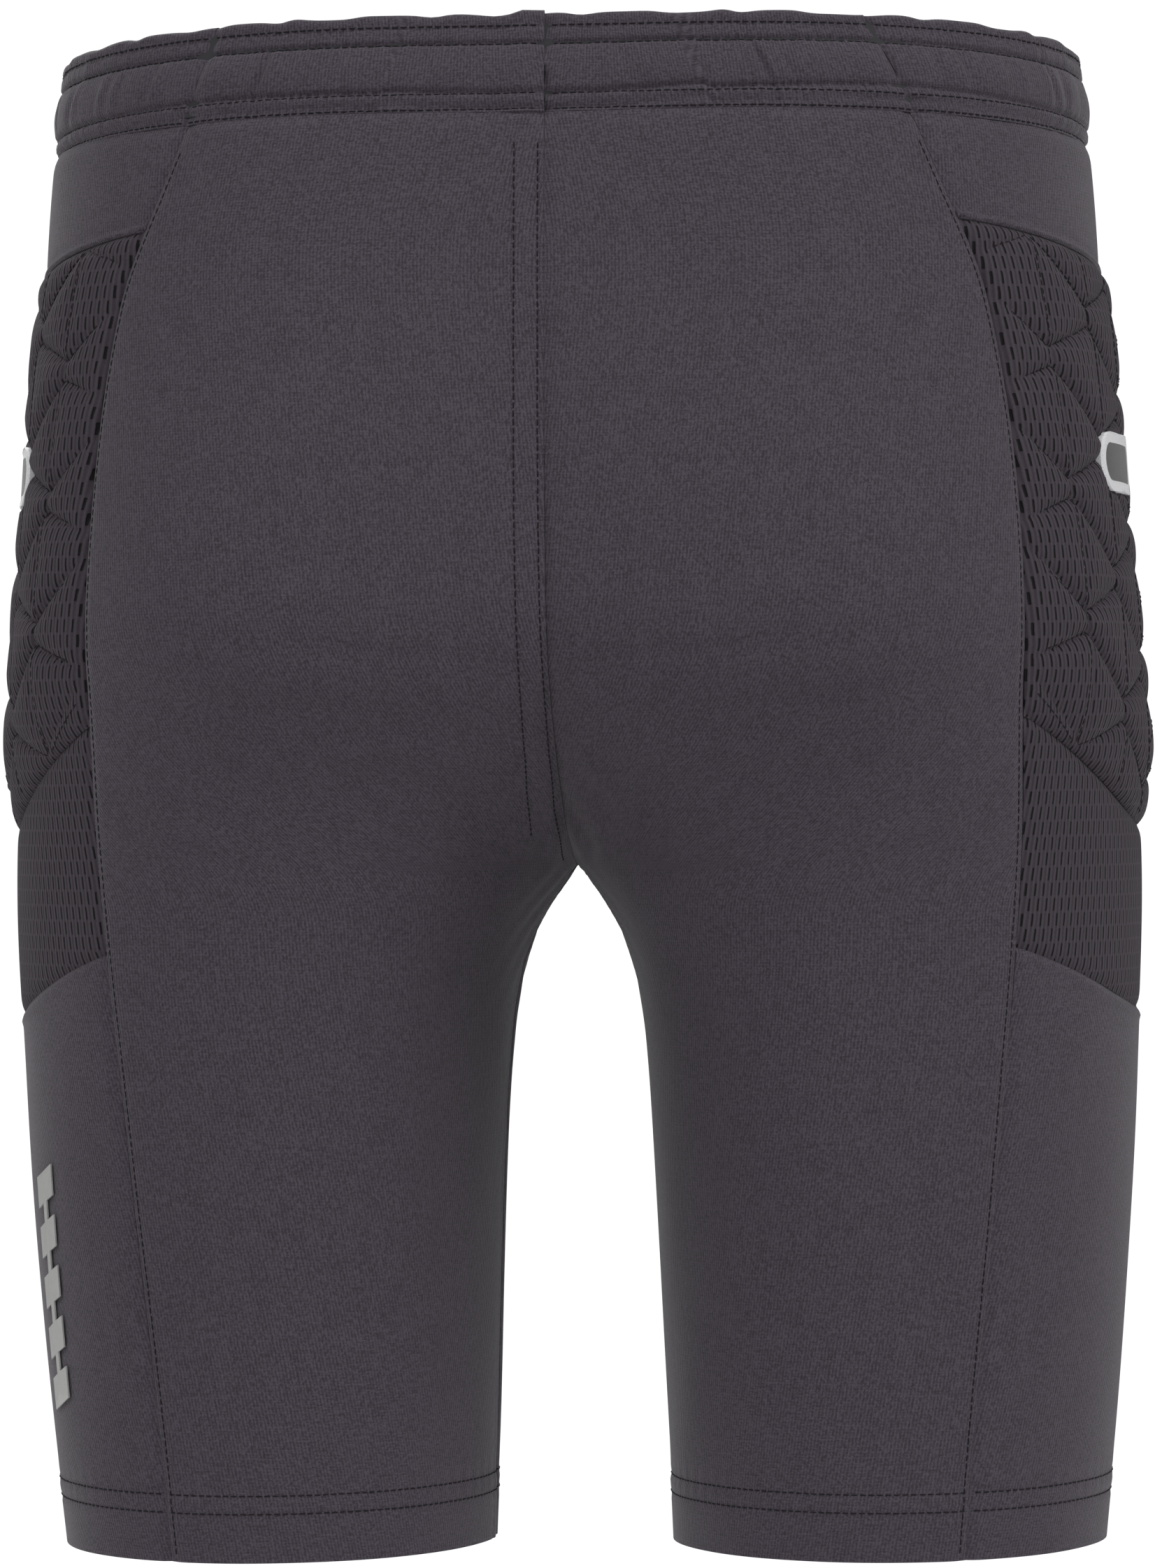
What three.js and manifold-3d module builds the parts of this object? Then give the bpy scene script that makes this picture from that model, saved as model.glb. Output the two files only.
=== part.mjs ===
// Hip-padded sports shorts, close fitting, shown as they hang on the wearer.
//
// Millimetres, +Z up, the front facing -Y and the wearer's left side at +X. The origin is the centre
// of the waist opening, level with the top of the waistband at the side seams.
//
// Each half is cut as a back, a side and a front panel. The side panel is a yoke, a quilted pad with a
// plain mesh tail under it, and a lower panel. Every piece is a thin sheet that follows one body form,
// so a piece is given by its span round the leg, its span of height and its two faces.
import * as THREE from "three";
import { mergeVertices } from "three/addons/utils/BufferGeometryUtils.js";
import Module from "manifold-3d";

const wasm = await Module();
wasm.setup();

// ---- Driving dimensions ----------------------------------------------------------------------

// Lengths down the garment.
const OUTSEAM = 471.5; // hem to the top of the waistband, at the side
const INSEAM = 214; // hem to the crotch point
const WAIST_TILT = 0.057; // rise of the top edge, per mm towards the back
const BAND_HEIGHT = 30;
const HEM_DEPTH = 21;

// Half widths of the whole garment, and half depths of each leg's form to the back and the front.
const WAIST_HALF_WIDTH = 163;
const HIP_HALF_WIDTH = 176;
const THIGH_HALF_WIDTH = 180;
const HEM_HALF_WIDTH = 166.5;
const WAIST_DEPTH = { back: 98, front: 92 };
const SEAT_DEPTH = { back: 124, front: 110 };
const CROTCH_DEPTH = { back: 99, front: 98 };
const HEM_DEPTH_HALF = { back: 79, front: 77 };
const LEG_GAP_HALF = 29; // from the centre plane to the inner thigh, at the hem
const GAP_TAPER = 9; // the part of that which opens evenly down the leg
const GAP_REACH = 18; // how far below the crotch the rest opens

// Sheet thicknesses, and the clearances between pieces that touch.
const FABRIC = 1.2;
const LINING = 0.8;
const FOAM_RISE = 6.5; // how far the pad stands proud of the form
const PAD_EDGE = 15; // width of the slope round the pad
const ELASTIC = 1.2;
const SEAM_GAP = 0.6; // between pieces that lie edge to edge
const LAYER_GAP = 0.3; // between pieces that lie face to face
const BOND_GAP = 0.8; // between a panel and what is sewn or bonded to it across its curve
const BAND_CLEARANCE = 0.5; // round the elastic inside the waistband

// The side panel's seams: heights at its back edge, at the side and at its front edge.
const YOKE_SEAM_DROP = { back: 58, side: 70, front: 80 }; // below the waist
const PAD_FOOT_RISE = { back: 46, side: 12, front: 38 }; // above the crotch
const MESH_FOOT_DROP = { back: 25, side: 46, front: 28 }; // below the crotch

// The seat and the leg are separate bodies. Between them is a ring of fabric that bends.
const SEAT_FOOT_DROP = 14; // below the crotch, the lowest the seat's back and front panels reach
const BEND_HEIGHT = 55; // the ring of fabric that bends as the leg swings
const LEG_TOP = INSEAM - SEAT_FOOT_DROP - BEND_HEIGHT;

// Trim.
const SEAM_FACING = { width: 9, thickness: 1, stand_off: 2, height_above_crotch: 85, drop: 4 };
const BADGE = { width: 48, height: 19, thickness: 1.2, height_above_crotch: 125, behind_side: 22 };
const PRINT = {
  bars: 5, bar_share: 0.62, width: 14, length: 80, slant: 5, spine: 3, thickness: 0.5, foot: 44, angle: 29,
};
const LABEL = { width: 34, height: 26, thickness: 0.6, drop: 1 };

// ---- The body form ---------------------------------------------------------------------------

const RISE = OUTSEAM - INSEAM;
const SEAT_LEVEL = INSEAM + 0.33 * RISE;
const deg = THREE.MathUtils.degToRad;

// A smooth value along the height, through [height, value] points.
function profile(points) {
  const slope = (i) => {
    const [a, b] = [points[Math.max(i - 1, 0)], points[Math.min(i + 1, points.length - 1)]];
    return (b[1] - a[1]) / (b[0] - a[0]);
  };
  return (z) => {
    let i = 0;
    while (i < points.length - 2 && z > points[i + 1][0]) i++;
    const [[z0, v0], [z1, v1]] = [points[i], points[i + 1]];
    const span = z1 - z0;
    const t = THREE.MathUtils.clamp((z - z0) / span, 0, 1);
    const [m0, m1] = [slope(i) * span, slope(i + 1) * span];
    return (2 * t ** 3 - 3 * t ** 2 + 1) * v0 + (t ** 3 - 2 * t ** 2 + t) * m0
      + (3 * t ** 2 - 2 * t ** 3) * v1 + (t ** 3 - t ** 2) * m1;
  };
}

const halfWidth = profile([
  [0, HEM_HALF_WIDTH],
  [0.4 * INSEAM, 0.42 * HEM_HALF_WIDTH + 0.58 * THIGH_HALF_WIDTH],
  [0.7 * INSEAM, 0.14 * HEM_HALF_WIDTH + 0.86 * THIGH_HALF_WIDTH],
  [INSEAM, THIGH_HALF_WIDTH],
  [INSEAM + 0.25 * RISE, HIP_HALF_WIDTH],
  [INSEAM + 0.49 * RISE, 0.6 * HIP_HALF_WIDTH + 0.4 * WAIST_HALF_WIDTH],
  [INSEAM + 0.8 * RISE, 0.35 * HIP_HALF_WIDTH + 0.65 * WAIST_HALF_WIDTH],
  [OUTSEAM, WAIST_HALF_WIDTH],
]);
const depthOf = (way) => profile([
  [0, HEM_DEPTH_HALF[way]],
  [0.5 * INSEAM, 0.5 * (HEM_DEPTH_HALF[way] + CROTCH_DEPTH[way]) - 1],
  [INSEAM, CROTCH_DEPTH[way]],
  [SEAT_LEVEL, SEAT_DEPTH[way]],
  [INSEAM + 0.75 * RISE, 0.45 * SEAT_DEPTH[way] + 0.55 * WAIST_DEPTH[way]],
  [OUTSEAM, WAIST_DEPTH[way]],
]);
const halfDepth = { back: depthOf("back"), front: depthOf("front") };

// Half the gap between the legs: it opens quickly under the crotch, then slowly.
function legGap(z) {
  const below = INSEAM - z;
  const quick = (LEG_GAP_HALF - GAP_TAPER) * (1 - Math.exp(-below / GAP_REACH));
  return quick + (GAP_TAPER * below) / INSEAM;
}

// The middle of a leg's form, between the inner thigh and the side.
const legCentre = profile([
  [0, (HEM_HALF_WIDTH + LEG_GAP_HALF) / 2],
  [INSEAM, THIGH_HALF_WIDTH / 2],
  [SEAT_LEVEL, 0.47 * HIP_HALF_WIDTH],
  [OUTSEAM, 0.28 * WAIST_HALF_WIDTH],
]);

// How near the centre seam comes to the form's full depth: nothing at the crotch, nearly all at the waist.
const CROTCH_CURVE = { back: 0.33 * RISE, front: 0.3 * RISE };
const CLEFT = 0.06; // how far the centre seam lies in, at the seat
function centreShare(z, way) {
  const up = z - INSEAM;
  const curve = Math.sqrt(1 - (1 - Math.min(up / CROTCH_CURVE[way], 1)) ** 2);
  const fade = THREE.MathUtils.smoothstep(up, 0.3 * RISE, 0.8 * RISE);
  return curve * (1 - CLEFT * (1 - fade) - 0.004);
}

// The half width of the form's inner side, measured from the leg's centre.
function innerWidth(z, way) {
  const centre = legCentre(z);
  if (z <= INSEAM) return centre - legGap(z);
  return centre / Math.sqrt(1 - centreShare(z, way) ** 2);
}

// A point of the left half's form. The angle is 0 at the side, positive to the back, negative to the front.
function formPoint(angle, z) {
  const way = angle >= 0 ? "back" : "front";
  const cos = Math.cos(angle);
  const across = cos >= 0 ? halfWidth(z) - legCentre(z) : innerWidth(z, way);
  return new THREE.Vector3(legCentre(z) + across * cos, halfDepth[way](z) * Math.sin(angle), z);
}

// The form's outward direction there.
function formNormal(angle, z) {
  const step = 0.004;
  const round = formPoint(angle + step, z).sub(formPoint(angle - step, z));
  const up = formPoint(angle, z + 1).sub(formPoint(angle, z - 1));
  return round.cross(up).normalize();
}

const onForm = (angle, z, offset) => formPoint(angle, z).addScaledVector(formNormal(angle, z), offset);

// The length along the form that one radian covers.
function roundScale(angle, z) {
  return formPoint(angle + 0.01, z).distanceTo(formPoint(angle - 0.01, z)) / 0.02;
}

// The angle at which the form's back or front comes within a distance of the centre plane.
function angleFromCentre(z, way, distance) {
  const share = Math.min((legCentre(z) - distance) / innerWidth(z, way), 1);
  return Math.PI - Math.acos(share);
}

// ---- Seam lines ------------------------------------------------------------------------------

const backSeamAngle = profile([
  [0, deg(68)],
  [0.35 * INSEAM, deg(63)],
  [0.75 * INSEAM, deg(57)],
  [INSEAM + 0.15 * RISE, deg(50.5)],
  [INSEAM + 0.45 * RISE, deg(45)],
  [INSEAM + 0.68 * RISE, deg(47.3)],
  [INSEAM + 0.82 * RISE, deg(54)],
  [OUTSEAM, deg(62)],
]);
const frontSeamAngle = (z) => -0.96 * backSeamAngle(z);

// The last angle before the centre seam, or before the inseam on the leg.
function centreAngle(z, way) {
  const gap = SEAM_GAP / 2;
  return Math.min(angleFromCentre(z, way, gap), Math.PI - gap / halfDepth[way](z));
}

// A curve over the side panel, from its front edge (0) through the side (0.5) to its back edge (1).
const acrossSide = ({ front, side, back }) => profile([[0, front], [0.5, side], [1, back]]);
const yokeSeam = acrossSide({
  front: OUTSEAM - YOKE_SEAM_DROP.front,
  side: OUTSEAM - YOKE_SEAM_DROP.side,
  back: OUTSEAM - YOKE_SEAM_DROP.back,
});
const padFoot = acrossSide({
  front: INSEAM + PAD_FOOT_RISE.front,
  side: INSEAM + PAD_FOOT_RISE.side,
  back: INSEAM + PAD_FOOT_RISE.back,
});
const meshFoot = acrossSide({
  front: INSEAM - MESH_FOOT_DROP.front,
  side: INSEAM - MESH_FOOT_DROP.side,
  back: INSEAM - MESH_FOOT_DROP.back,
});

// ---- Making sheets ---------------------------------------------------------------------------

// The three spans round a half: each gives its first and last angle at a height.
const gapAngle = (angle, z) => SEAM_GAP / 2 / roundScale(angle, z);
const inset = (angle, z, way) => angle + way * gapAngle(angle, z);
const SPANS = {
  back: (z) => [inset(backSeamAngle(z), z, 1), centreAngle(z, "back")],
  side: (z) => [inset(frontSeamAngle(z), z, 1), inset(backSeamAngle(z), z, -1)],
  front: (z) => [-centreAngle(z, "front"), inset(frontSeamAngle(z), z, -1)],
};
const SPAN_STEPS = { back: 8, side: 12, front: 8 };

const lerp = THREE.MathUtils.lerp;
const always = (value) => () => value;

// A box bent onto the form: u runs round it, v up it, and w from the inner face to the outer one.
function sheet({ span, foot, top, inner, outer, across, up, crowd = 1, from = 0, to = 1 }) {
  const box = new THREE.BoxGeometry(1, 1, 1, across, up, 1);
  const position = box.getAttribute("position");
  for (let i = 0; i < position.count; i++) {
    const u = lerp(from, to, position.getX(i) + 0.5);
    const v = (position.getY(i) + 0.5) ** crowd;
    const z = lerp(foot(u), top(u), v);
    const [first, last] = span(z);
    const face = position.getZ(i) > 0 ? outer : inner;
    const point = onForm(lerp(first, last, u), z, face(u, v));
    position.setXYZ(i, point.x, point.y, point.z);
  }
  return matchDiagonals(box);
}

// Cuts the inner face's squares along the same diagonal as the outer face's, so that sheets which lie
// face to face stay parallel.
function matchDiagonals(box) {
  const index = box.getIndex();
  const { start, count } = box.groups[5];
  for (let i = start; i < start + count; i += 6) {
    const [a, b, d, , c] = index.array.slice(i, i + 5);
    [a, b, c, a, c, d].forEach((corner, k) => index.setX(i + k, corner));
  }
  return box;
}

// A closed ring on the form: the profile is [offset, height] points, and place turns an angle into a point.
function ring(points, segments, place) {
  const outline = points.map(([offset, height]) => new THREE.Vector2(100 + offset, height));
  const lathe = new THREE.LatheGeometry([...outline, outline[0]], segments);
  const position = lathe.getAttribute("position");
  for (let i = 0; i < position.count; i++) {
    const [x, height, y] = [position.getX(i), position.getY(i), position.getZ(i)];
    const point = place(Math.atan2(x, y), Math.hypot(x, y) - 100, height);
    position.setXYZ(i, point.x, point.y, point.z);
  }
  return lathe;
}

// Booleans, on the position attribute alone.
function toSolid(geometry) {
  const bare = geometry.clone();
  bare.deleteAttribute("normal");
  bare.deleteAttribute("uv");
  const merged = mergeVertices(bare, 1e-3);
  return new wasm.Manifold(new wasm.Mesh({
    numProp: 3,
    vertProperties: merged.getAttribute("position").array,
    triVerts: new Uint32Array(merged.index.array),
  }));
}
function fromSolid(solid) {
  const made = solid.getMesh();
  return new THREE.BufferGeometry()
    .setAttribute("position", new THREE.BufferAttribute(made.vertProperties, 3))
    .setIndex(new THREE.BufferAttribute(made.triVerts, 1));
}

// ---- Materials -------------------------------------------------------------------------------

const finish = (color, roughness, metalness = 0) =>
  new THREE.MeshStandardMaterial({ color, roughness, metalness });
const MATERIALS = {
  stretchFabric: finish(0x47414a, 0.85),
  quiltMesh: finish(0x3a353c, 0.9),
  foam: finish(0x2c2c30, 0.95),
  lining: finish(0x2f2b31, 0.9),
  elastic: finish(0x26242a, 0.8),
  label: finish(0xd8d8d4, 0.8),
  badge: finish(0xf2f2f4, 0.6),
  print: finish(0xbfc0be, 0.35),
};

// ---- The pieces of one half, made as the left one ------------------------------------------------

const waistY = (angle) => formPoint(angle, OUTSEAM).y;
const waistTop = (angle) => OUTSEAM + WAIST_TILT * waistY(angle);
const fabric = { inner: always(-FABRIC), outer: always(0) };

// The waistband's seams run straight up from its foot.
const bandSpan = (span) => always(SPANS[span](OUTSEAM - BAND_HEIGHT));

// The height of the waistband's foot or top over a span, at a share of the way round it.
function bandEdge(span, drop) {
  const [first, last] = bandSpan(span)();
  return (u) => waistTop(lerp(first, last, u)) - drop;
}

// The band is folded over its elastic, so its section is a channel that is open at the foot.
const BAND_THICKNESS = 2 * FABRIC + ELASTIC + 2 * BAND_CLEARANCE;
const ELASTIC_FOOT = BAND_HEIGHT - 2.5; // clear of the stitches that close the casing
const ELASTIC_HEAD = FABRIC + BAND_CLEARANCE;

function waistband(span) {
  const steps = SPAN_STEPS[span];
  const block = sheet({
    span: bandSpan(span),
    across: steps,
    up: 1,
    foot: bandEdge(span, BAND_HEIGHT),
    top: bandEdge(span, 0),
    inner: always(-BAND_THICKNESS),
    outer: always(0),
  });
  const channel = sheet({
    span: bandSpan(span),
    across: steps + 2, // one step past each end
    up: 1,
    from: -1 / steps,
    to: 1 + 1 / steps,
    foot: bandEdge(span, BAND_HEIGHT + 2),
    top: bandEdge(span, FABRIC),
    inner: always(FABRIC - BAND_THICKNESS),
    outer: always(-FABRIC),
  });
  return fromSolid(toSolid(block).subtract(toSolid(channel)));
}

// A body panel from under the band down to the seat's foot, crowded towards the crotch.
const seatPanel = (span) => sheet({
  span: SPANS[span],
  across: SPAN_STEPS[span],
  up: 20,
  crowd: 1.4,
  foot: always(INSEAM - SEAT_FOOT_DROP),
  top: bandEdge(span, BAND_HEIGHT + SEAM_GAP),
  ...fabric,
});
const bendPanel = (span) => sheet({
  span: SPANS[span],
  across: SPAN_STEPS[span],
  up: 6,
  foot: always(LEG_TOP + SEAM_GAP),
  top: always(INSEAM - SEAT_FOOT_DROP - SEAM_GAP),
  ...fabric,
});
const legPanel = (span) => sheet({
  span: SPANS[span],
  across: SPAN_STEPS[span],
  up: 9,
  foot: always(0),
  top: always(LEG_TOP),
  ...fabric,
});

const raised = (line, by) => (u) => line(u) + by;
const yoke = () => sheet({
  span: SPANS.side,
  across: SPAN_STEPS.side,
  up: 4,
  foot: raised(yokeSeam, SEAM_GAP / 2),
  top: bandEdge("side", BAND_HEIGHT + SEAM_GAP),
  ...fabric,
});

// The pad's rise over the form: none at its edges, and full inside the slope.
const PAD_STEPS = { across: SPAN_STEPS.side, up: 14 };
const padHeight = (u) => yokeSeam(u) - padFoot(u) - SEAM_GAP;
const PAD_WIDTH = 176; // between its two side seams, along the form
function padRise(u, v) {
  const sides = Math.min(u, 1 - u) * PAD_WIDTH;
  const ends = Math.min(v, 1 - v) * padHeight(u);
  const slope = (distance) => THREE.MathUtils.smootherstep(distance, 0, PAD_EDGE);
  return FOAM_RISE * slope(sides) * slope(ends);
}
const pad = {
  span: SPANS.side,
  foot: raised(padFoot, SEAM_GAP / 2),
  top: raised(yokeSeam, -SEAM_GAP / 2),
};
const quiltedCover = () => sheet({
  ...pad,
  ...PAD_STEPS,
  inner: (u, v) => padRise(u, v) - FABRIC,
  outer: padRise,
});
const padLining = () => sheet({
  ...pad,
  ...PAD_STEPS,
  inner: always(-FABRIC - LAYER_GAP - LINING),
  outer: always(-FABRIC - LAYER_GAP),
});

// The foam lies on the same grid as its cover, one step in from each edge.
function foamCore() {
  const [du, dv] = [1 / PAD_STEPS.across, 1 / PAD_STEPS.up];
  const along = (v) => (u) => lerp(pad.foot(u), pad.top(u), v);
  return sheet({
    span: SPANS.side,
    across: PAD_STEPS.across - 2,
    up: PAD_STEPS.up - 2,
    from: du,
    to: 1 - du,
    foot: along(dv),
    top: along(1 - dv),
    inner: always(-FABRIC),
    outer: (u, v) => Math.max(padRise(u, lerp(dv, 1 - dv, v)) - FABRIC - LAYER_GAP, -FABRIC + 0.5),
  });
}

const meshTail = () => sheet({
  span: SPANS.side,
  across: SPAN_STEPS.side,
  up: 6,
  foot: raised(meshFoot, SEAM_GAP / 2),
  top: raised(padFoot, -SEAM_GAP / 2),
  ...fabric,
});
const lowerSide = () => sheet({
  span: SPANS.side,
  across: SPAN_STEPS.side,
  up: 11,
  foot: always(0),
  top: raised(meshFoot, -SEAM_GAP / 2),
  ...fabric,
});

// The turned-up hem, a ring inside the leg.
const HEM_SEGMENTS = 36;
function hemFacing() {
  const [out, back] = [-FABRIC - BOND_GAP, -2 * FABRIC - BOND_GAP];
  const section = [[out, 1], [out, HEM_DEPTH], [back, HEM_DEPTH], [back, 1]];
  return ring(section, HEM_SEGMENTS, (turn, offset, height) => onForm(turn, height, offset));
}

// A plain stadium badge, sewn on the pad's face at the side.
function badge() {
  const level = INSEAM + BADGE.height_above_crotch;
  const radius = BADGE.height / 2;
  const middle = BADGE.behind_side / roundScale(0, level);
  const foot = FOAM_RISE + BOND_GAP;
  return sheet({
    span: (z) => {
      const round = Math.sqrt(Math.max(radius ** 2 - (z - level) ** 2, 0));
      const half = (BADGE.width / 2 - radius + round) / roundScale(middle, z);
      return [middle - half, middle + half];
    },
    across: 6,
    up: 6,
    foot: always(level - radius),
    top: always(level + radius),
    inner: always(foot),
    outer: always(foot + BADGE.thickness),
  });
}

// A reflective transfer: a ladder of slanted bars on a thin spine, one connected film.
function reflectivePrint() {
  const pitch = PRINT.length / PRINT.bars;
  const bar = pitch * PRINT.bar_share;
  const pieces = [];
  for (let i = 0; i < PRINT.bars; i++) {
    const foot = i * pitch;
    const edge = PRINT.width / 2;
    const slanted = new THREE.Shape([
      new THREE.Vector2(-edge, foot),
      new THREE.Vector2(edge, foot + PRINT.slant),
      new THREE.Vector2(edge, foot + PRINT.slant + bar),
      new THREE.Vector2(-edge, foot + bar),
    ]);
    pieces.push(slanted);
  }
  const half = PRINT.spine / 2;
  pieces.push(new THREE.Shape([
    new THREE.Vector2(-half, bar / 2),
    new THREE.Vector2(half, bar / 2),
    new THREE.Vector2(half, PRINT.length - pitch + bar / 2),
    new THREE.Vector2(-half, PRINT.length - pitch + bar / 2),
  ]));
  const film = { depth: PRINT.thickness, bevelEnabled: false };
  const whole = pieces
    .map((shape) => toSolid(new THREE.ExtrudeGeometry(shape, film)))
    .reduce((a, b) => a.add(b));
  const middle = deg(PRINT.angle);
  return bend(fromSolid(whole), (x, y, w) => {
    const z = PRINT.foot + y;
    return onForm(middle + x / roundScale(middle, z), z, BOND_GAP + w);
  });
}

// Moves each vertex of a flat piece, drawn in x, y with w its thickness, onto the form.
function bend(flat, place) {
  const position = flat.getAttribute("position");
  for (let i = 0; i < position.count; i++) {
    const point = place(position.getX(i), position.getY(i), position.getZ(i));
    position.setXYZ(i, point.x, point.y, point.z);
  }
  return flat;
}

// ---- The pieces that are there once ------------------------------------------------------------

// The waist elastic, one loop through the band's channel.
const ELASTIC_SEGMENTS = 2 * (SPAN_STEPS.back + SPAN_STEPS.side + SPAN_STEPS.front);
function waistElastic() {
  const out = -FABRIC - BAND_CLEARANCE;
  const section = [
    [out, -ELASTIC_HEAD],
    [out - ELASTIC, -ELASTIC_HEAD],
    [out - ELASTIC, -ELASTIC_FOOT],
    [out, -ELASTIC_FOOT],
  ];
  return ring(section, ELASTIC_SEGMENTS, (turn, offset, drop) => {
    const angle = bandAngle(Math.abs(turn));
    const level = waistTop(angle);
    const point = onForm(angle, level, offset)
      .lerp(onForm(angle, level - BAND_HEIGHT, offset), -drop / BAND_HEIGHT);
    const side = Math.abs(Math.sin(turn)) < 1e-6 ? 0 : Math.sign(turn);
    return point.setX(side * point.x);
  });
}

// Turns 0 (centre front) to pi (centre back) into an angle on the form, on the same steps as the band.
function bandAngle(turn) {
  const foot = OUTSEAM - BAND_HEIGHT;
  const stops = [
    -angleFromCentre(foot, "front", 0),
    SPANS.front(foot)[1],
    SPANS.side(foot)[1],
    angleFromCentre(foot, "back", 0),
  ];
  const steps = [SPAN_STEPS.front, SPAN_STEPS.side, SPAN_STEPS.back];
  let at = (turn / Math.PI) * steps.reduce((a, b) => a + b);
  let i = 0;
  while (i < 2 && at > steps[i]) at -= steps[i++];
  return lerp(stops[i], stops[i + 1], Math.min(at / steps[i], 1));
}

// The blank size label, which hangs from the band's foot at the centre back, inside.
function sizeLabel() {
  const foot = OUTSEAM - BAND_HEIGHT;
  const centre = angleFromCentre(foot, "back", 0);
  const y = formPoint(centre, foot).y - BAND_THICKNESS + FABRIC / 2;
  const top = waistTop(centre) - BAND_HEIGHT - LABEL.drop;
  const label = new THREE.BoxGeometry(LABEL.width, LABEL.thickness, LABEL.height);
  return label.translate(0, y, top - LABEL.height / 2);
}

// The centre seam's allowance, turned to the left and sewn down inside the back.
function seamFacing() {
  const outer = -FABRIC - SEAM_FACING.stand_off;
  return sheet({
    span: (z) => [angleFromCentre(z, "back", SEAM_FACING.width), centreAngle(z, "back")],
    across: 2,
    up: 12,
    foot: always(INSEAM + SEAM_FACING.height_above_crotch),
    top: always(OUTSEAM - BAND_HEIGHT - SEAM_FACING.drop),
    inner: always(outer - SEAM_FACING.thickness),
    outer: always(outer),
  });
}

// ---- Assembly --------------------------------------------------------------------------------

const { stretchFabric, quiltMesh } = MATERIALS;
const HALF_PIECES = {
  waistband_back: [() => waistband("back"), stretchFabric],
  waistband_side: [() => waistband("side"), stretchFabric],
  waistband_front: [() => waistband("front"), stretchFabric],
  back_panel: [() => seatPanel("back"), stretchFabric],
  front_panel: [() => seatPanel("front"), stretchFabric],
  side_yoke: [yoke, stretchFabric],
  hip_pad_cover: [quiltedCover, quiltMesh],
  hip_pad_foam: [foamCore, MATERIALS.foam],
  hip_pad_lining: [padLining, MATERIALS.lining],
  hip_badge: [badge, MATERIALS.badge],
  mesh_tail: [meshTail, quiltMesh],
  back_bend: [() => bendPanel("back"), stretchFabric],
  front_bend: [() => bendPanel("front"), stretchFabric],
  back_leg: [() => legPanel("back"), stretchFabric],
  front_leg: [() => legPanel("front"), stretchFabric],
  lower_side: [lowerSide, stretchFabric],
  hem_facing: [hemFacing, stretchFabric],
};

const shorts = new THREE.Group();
shorts.position.z = -OUTSEAM; // from the hem to the waist opening

function add(name, geometry, material, mirrored = false) {
  const mesh = new THREE.Mesh(geometry, material);
  mesh.name = name;
  if (mirrored) mesh.scale.x = -1;
  shorts.add(mesh);
}

for (const [name, [make, material]] of Object.entries(HALF_PIECES)) {
  add(name + "_left", make(), material);
  add(name + "_right", make(), material, true);
}
add("waist_elastic", waistElastic(), MATERIALS.elastic);
add("centre_seam_facing", seamFacing(), stretchFabric);
add("size_label", sizeLabel(), MATERIALS.label);
add("reflective_print", reflectivePrint(), MATERIALS.print);

export default shorts;
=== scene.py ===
"""Hip-padded sports shorts: cloth, quilted pads, stitching and trim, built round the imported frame."""

import math

import bpy
import numpy as np
from bpy.props import FloatProperty, FloatVectorProperty, PointerProperty
from bpy.types import Operator, Panel, PropertyGroup
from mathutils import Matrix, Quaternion, Vector
from mathutils.bvhtree import BVHTree


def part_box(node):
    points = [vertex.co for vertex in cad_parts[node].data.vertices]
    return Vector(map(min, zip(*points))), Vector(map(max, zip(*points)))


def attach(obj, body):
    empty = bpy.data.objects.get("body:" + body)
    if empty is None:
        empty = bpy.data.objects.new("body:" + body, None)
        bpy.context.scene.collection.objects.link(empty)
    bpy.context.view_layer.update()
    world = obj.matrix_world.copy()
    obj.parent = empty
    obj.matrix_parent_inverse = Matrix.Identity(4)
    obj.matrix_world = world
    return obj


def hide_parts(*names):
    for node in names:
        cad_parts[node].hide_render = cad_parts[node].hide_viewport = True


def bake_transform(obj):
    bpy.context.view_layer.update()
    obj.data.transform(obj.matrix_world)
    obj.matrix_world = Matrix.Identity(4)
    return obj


bl_info = {
    "name": "Padded Shorts",
    "version": (1, 0, 0),
    "blender": (4, 5, 0),
    "location": "View3D > Sidebar > Shorts",
    "description": "Builds a pair of hip-padded sports shorts round its frame",
    "category": "Object",
}

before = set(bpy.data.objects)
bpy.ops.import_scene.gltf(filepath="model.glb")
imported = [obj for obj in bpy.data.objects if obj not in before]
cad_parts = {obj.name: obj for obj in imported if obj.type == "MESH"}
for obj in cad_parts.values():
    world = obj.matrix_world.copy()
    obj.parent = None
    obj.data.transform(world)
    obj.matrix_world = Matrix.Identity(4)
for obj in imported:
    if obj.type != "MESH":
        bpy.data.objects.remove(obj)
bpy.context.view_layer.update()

OUTSEAM = -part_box("back_leg_left")[0][2]  # hem to the top of the band at the side
SIDES = {"left": 1, "right": -1}
MEETING = 0.00002  # the gap between a panel's edge and its seam
SEAT = "seat"
LEG = {side: f"{side}_leg" for side in SIDES}
TURN = 2 * math.pi


# ---- Sizes and colours -------------------------------------------------------------------------


def length(name, description, default):
    """A length in metres."""
    return FloatProperty(
        name=name, description=description, default=default, unit="LENGTH", precision=4
    )


def colour(name, description, default):
    """A linear colour."""
    return FloatVectorProperty(
        name=name, description=description, default=default, subtype="COLOR", min=0, max=1
    )


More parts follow.
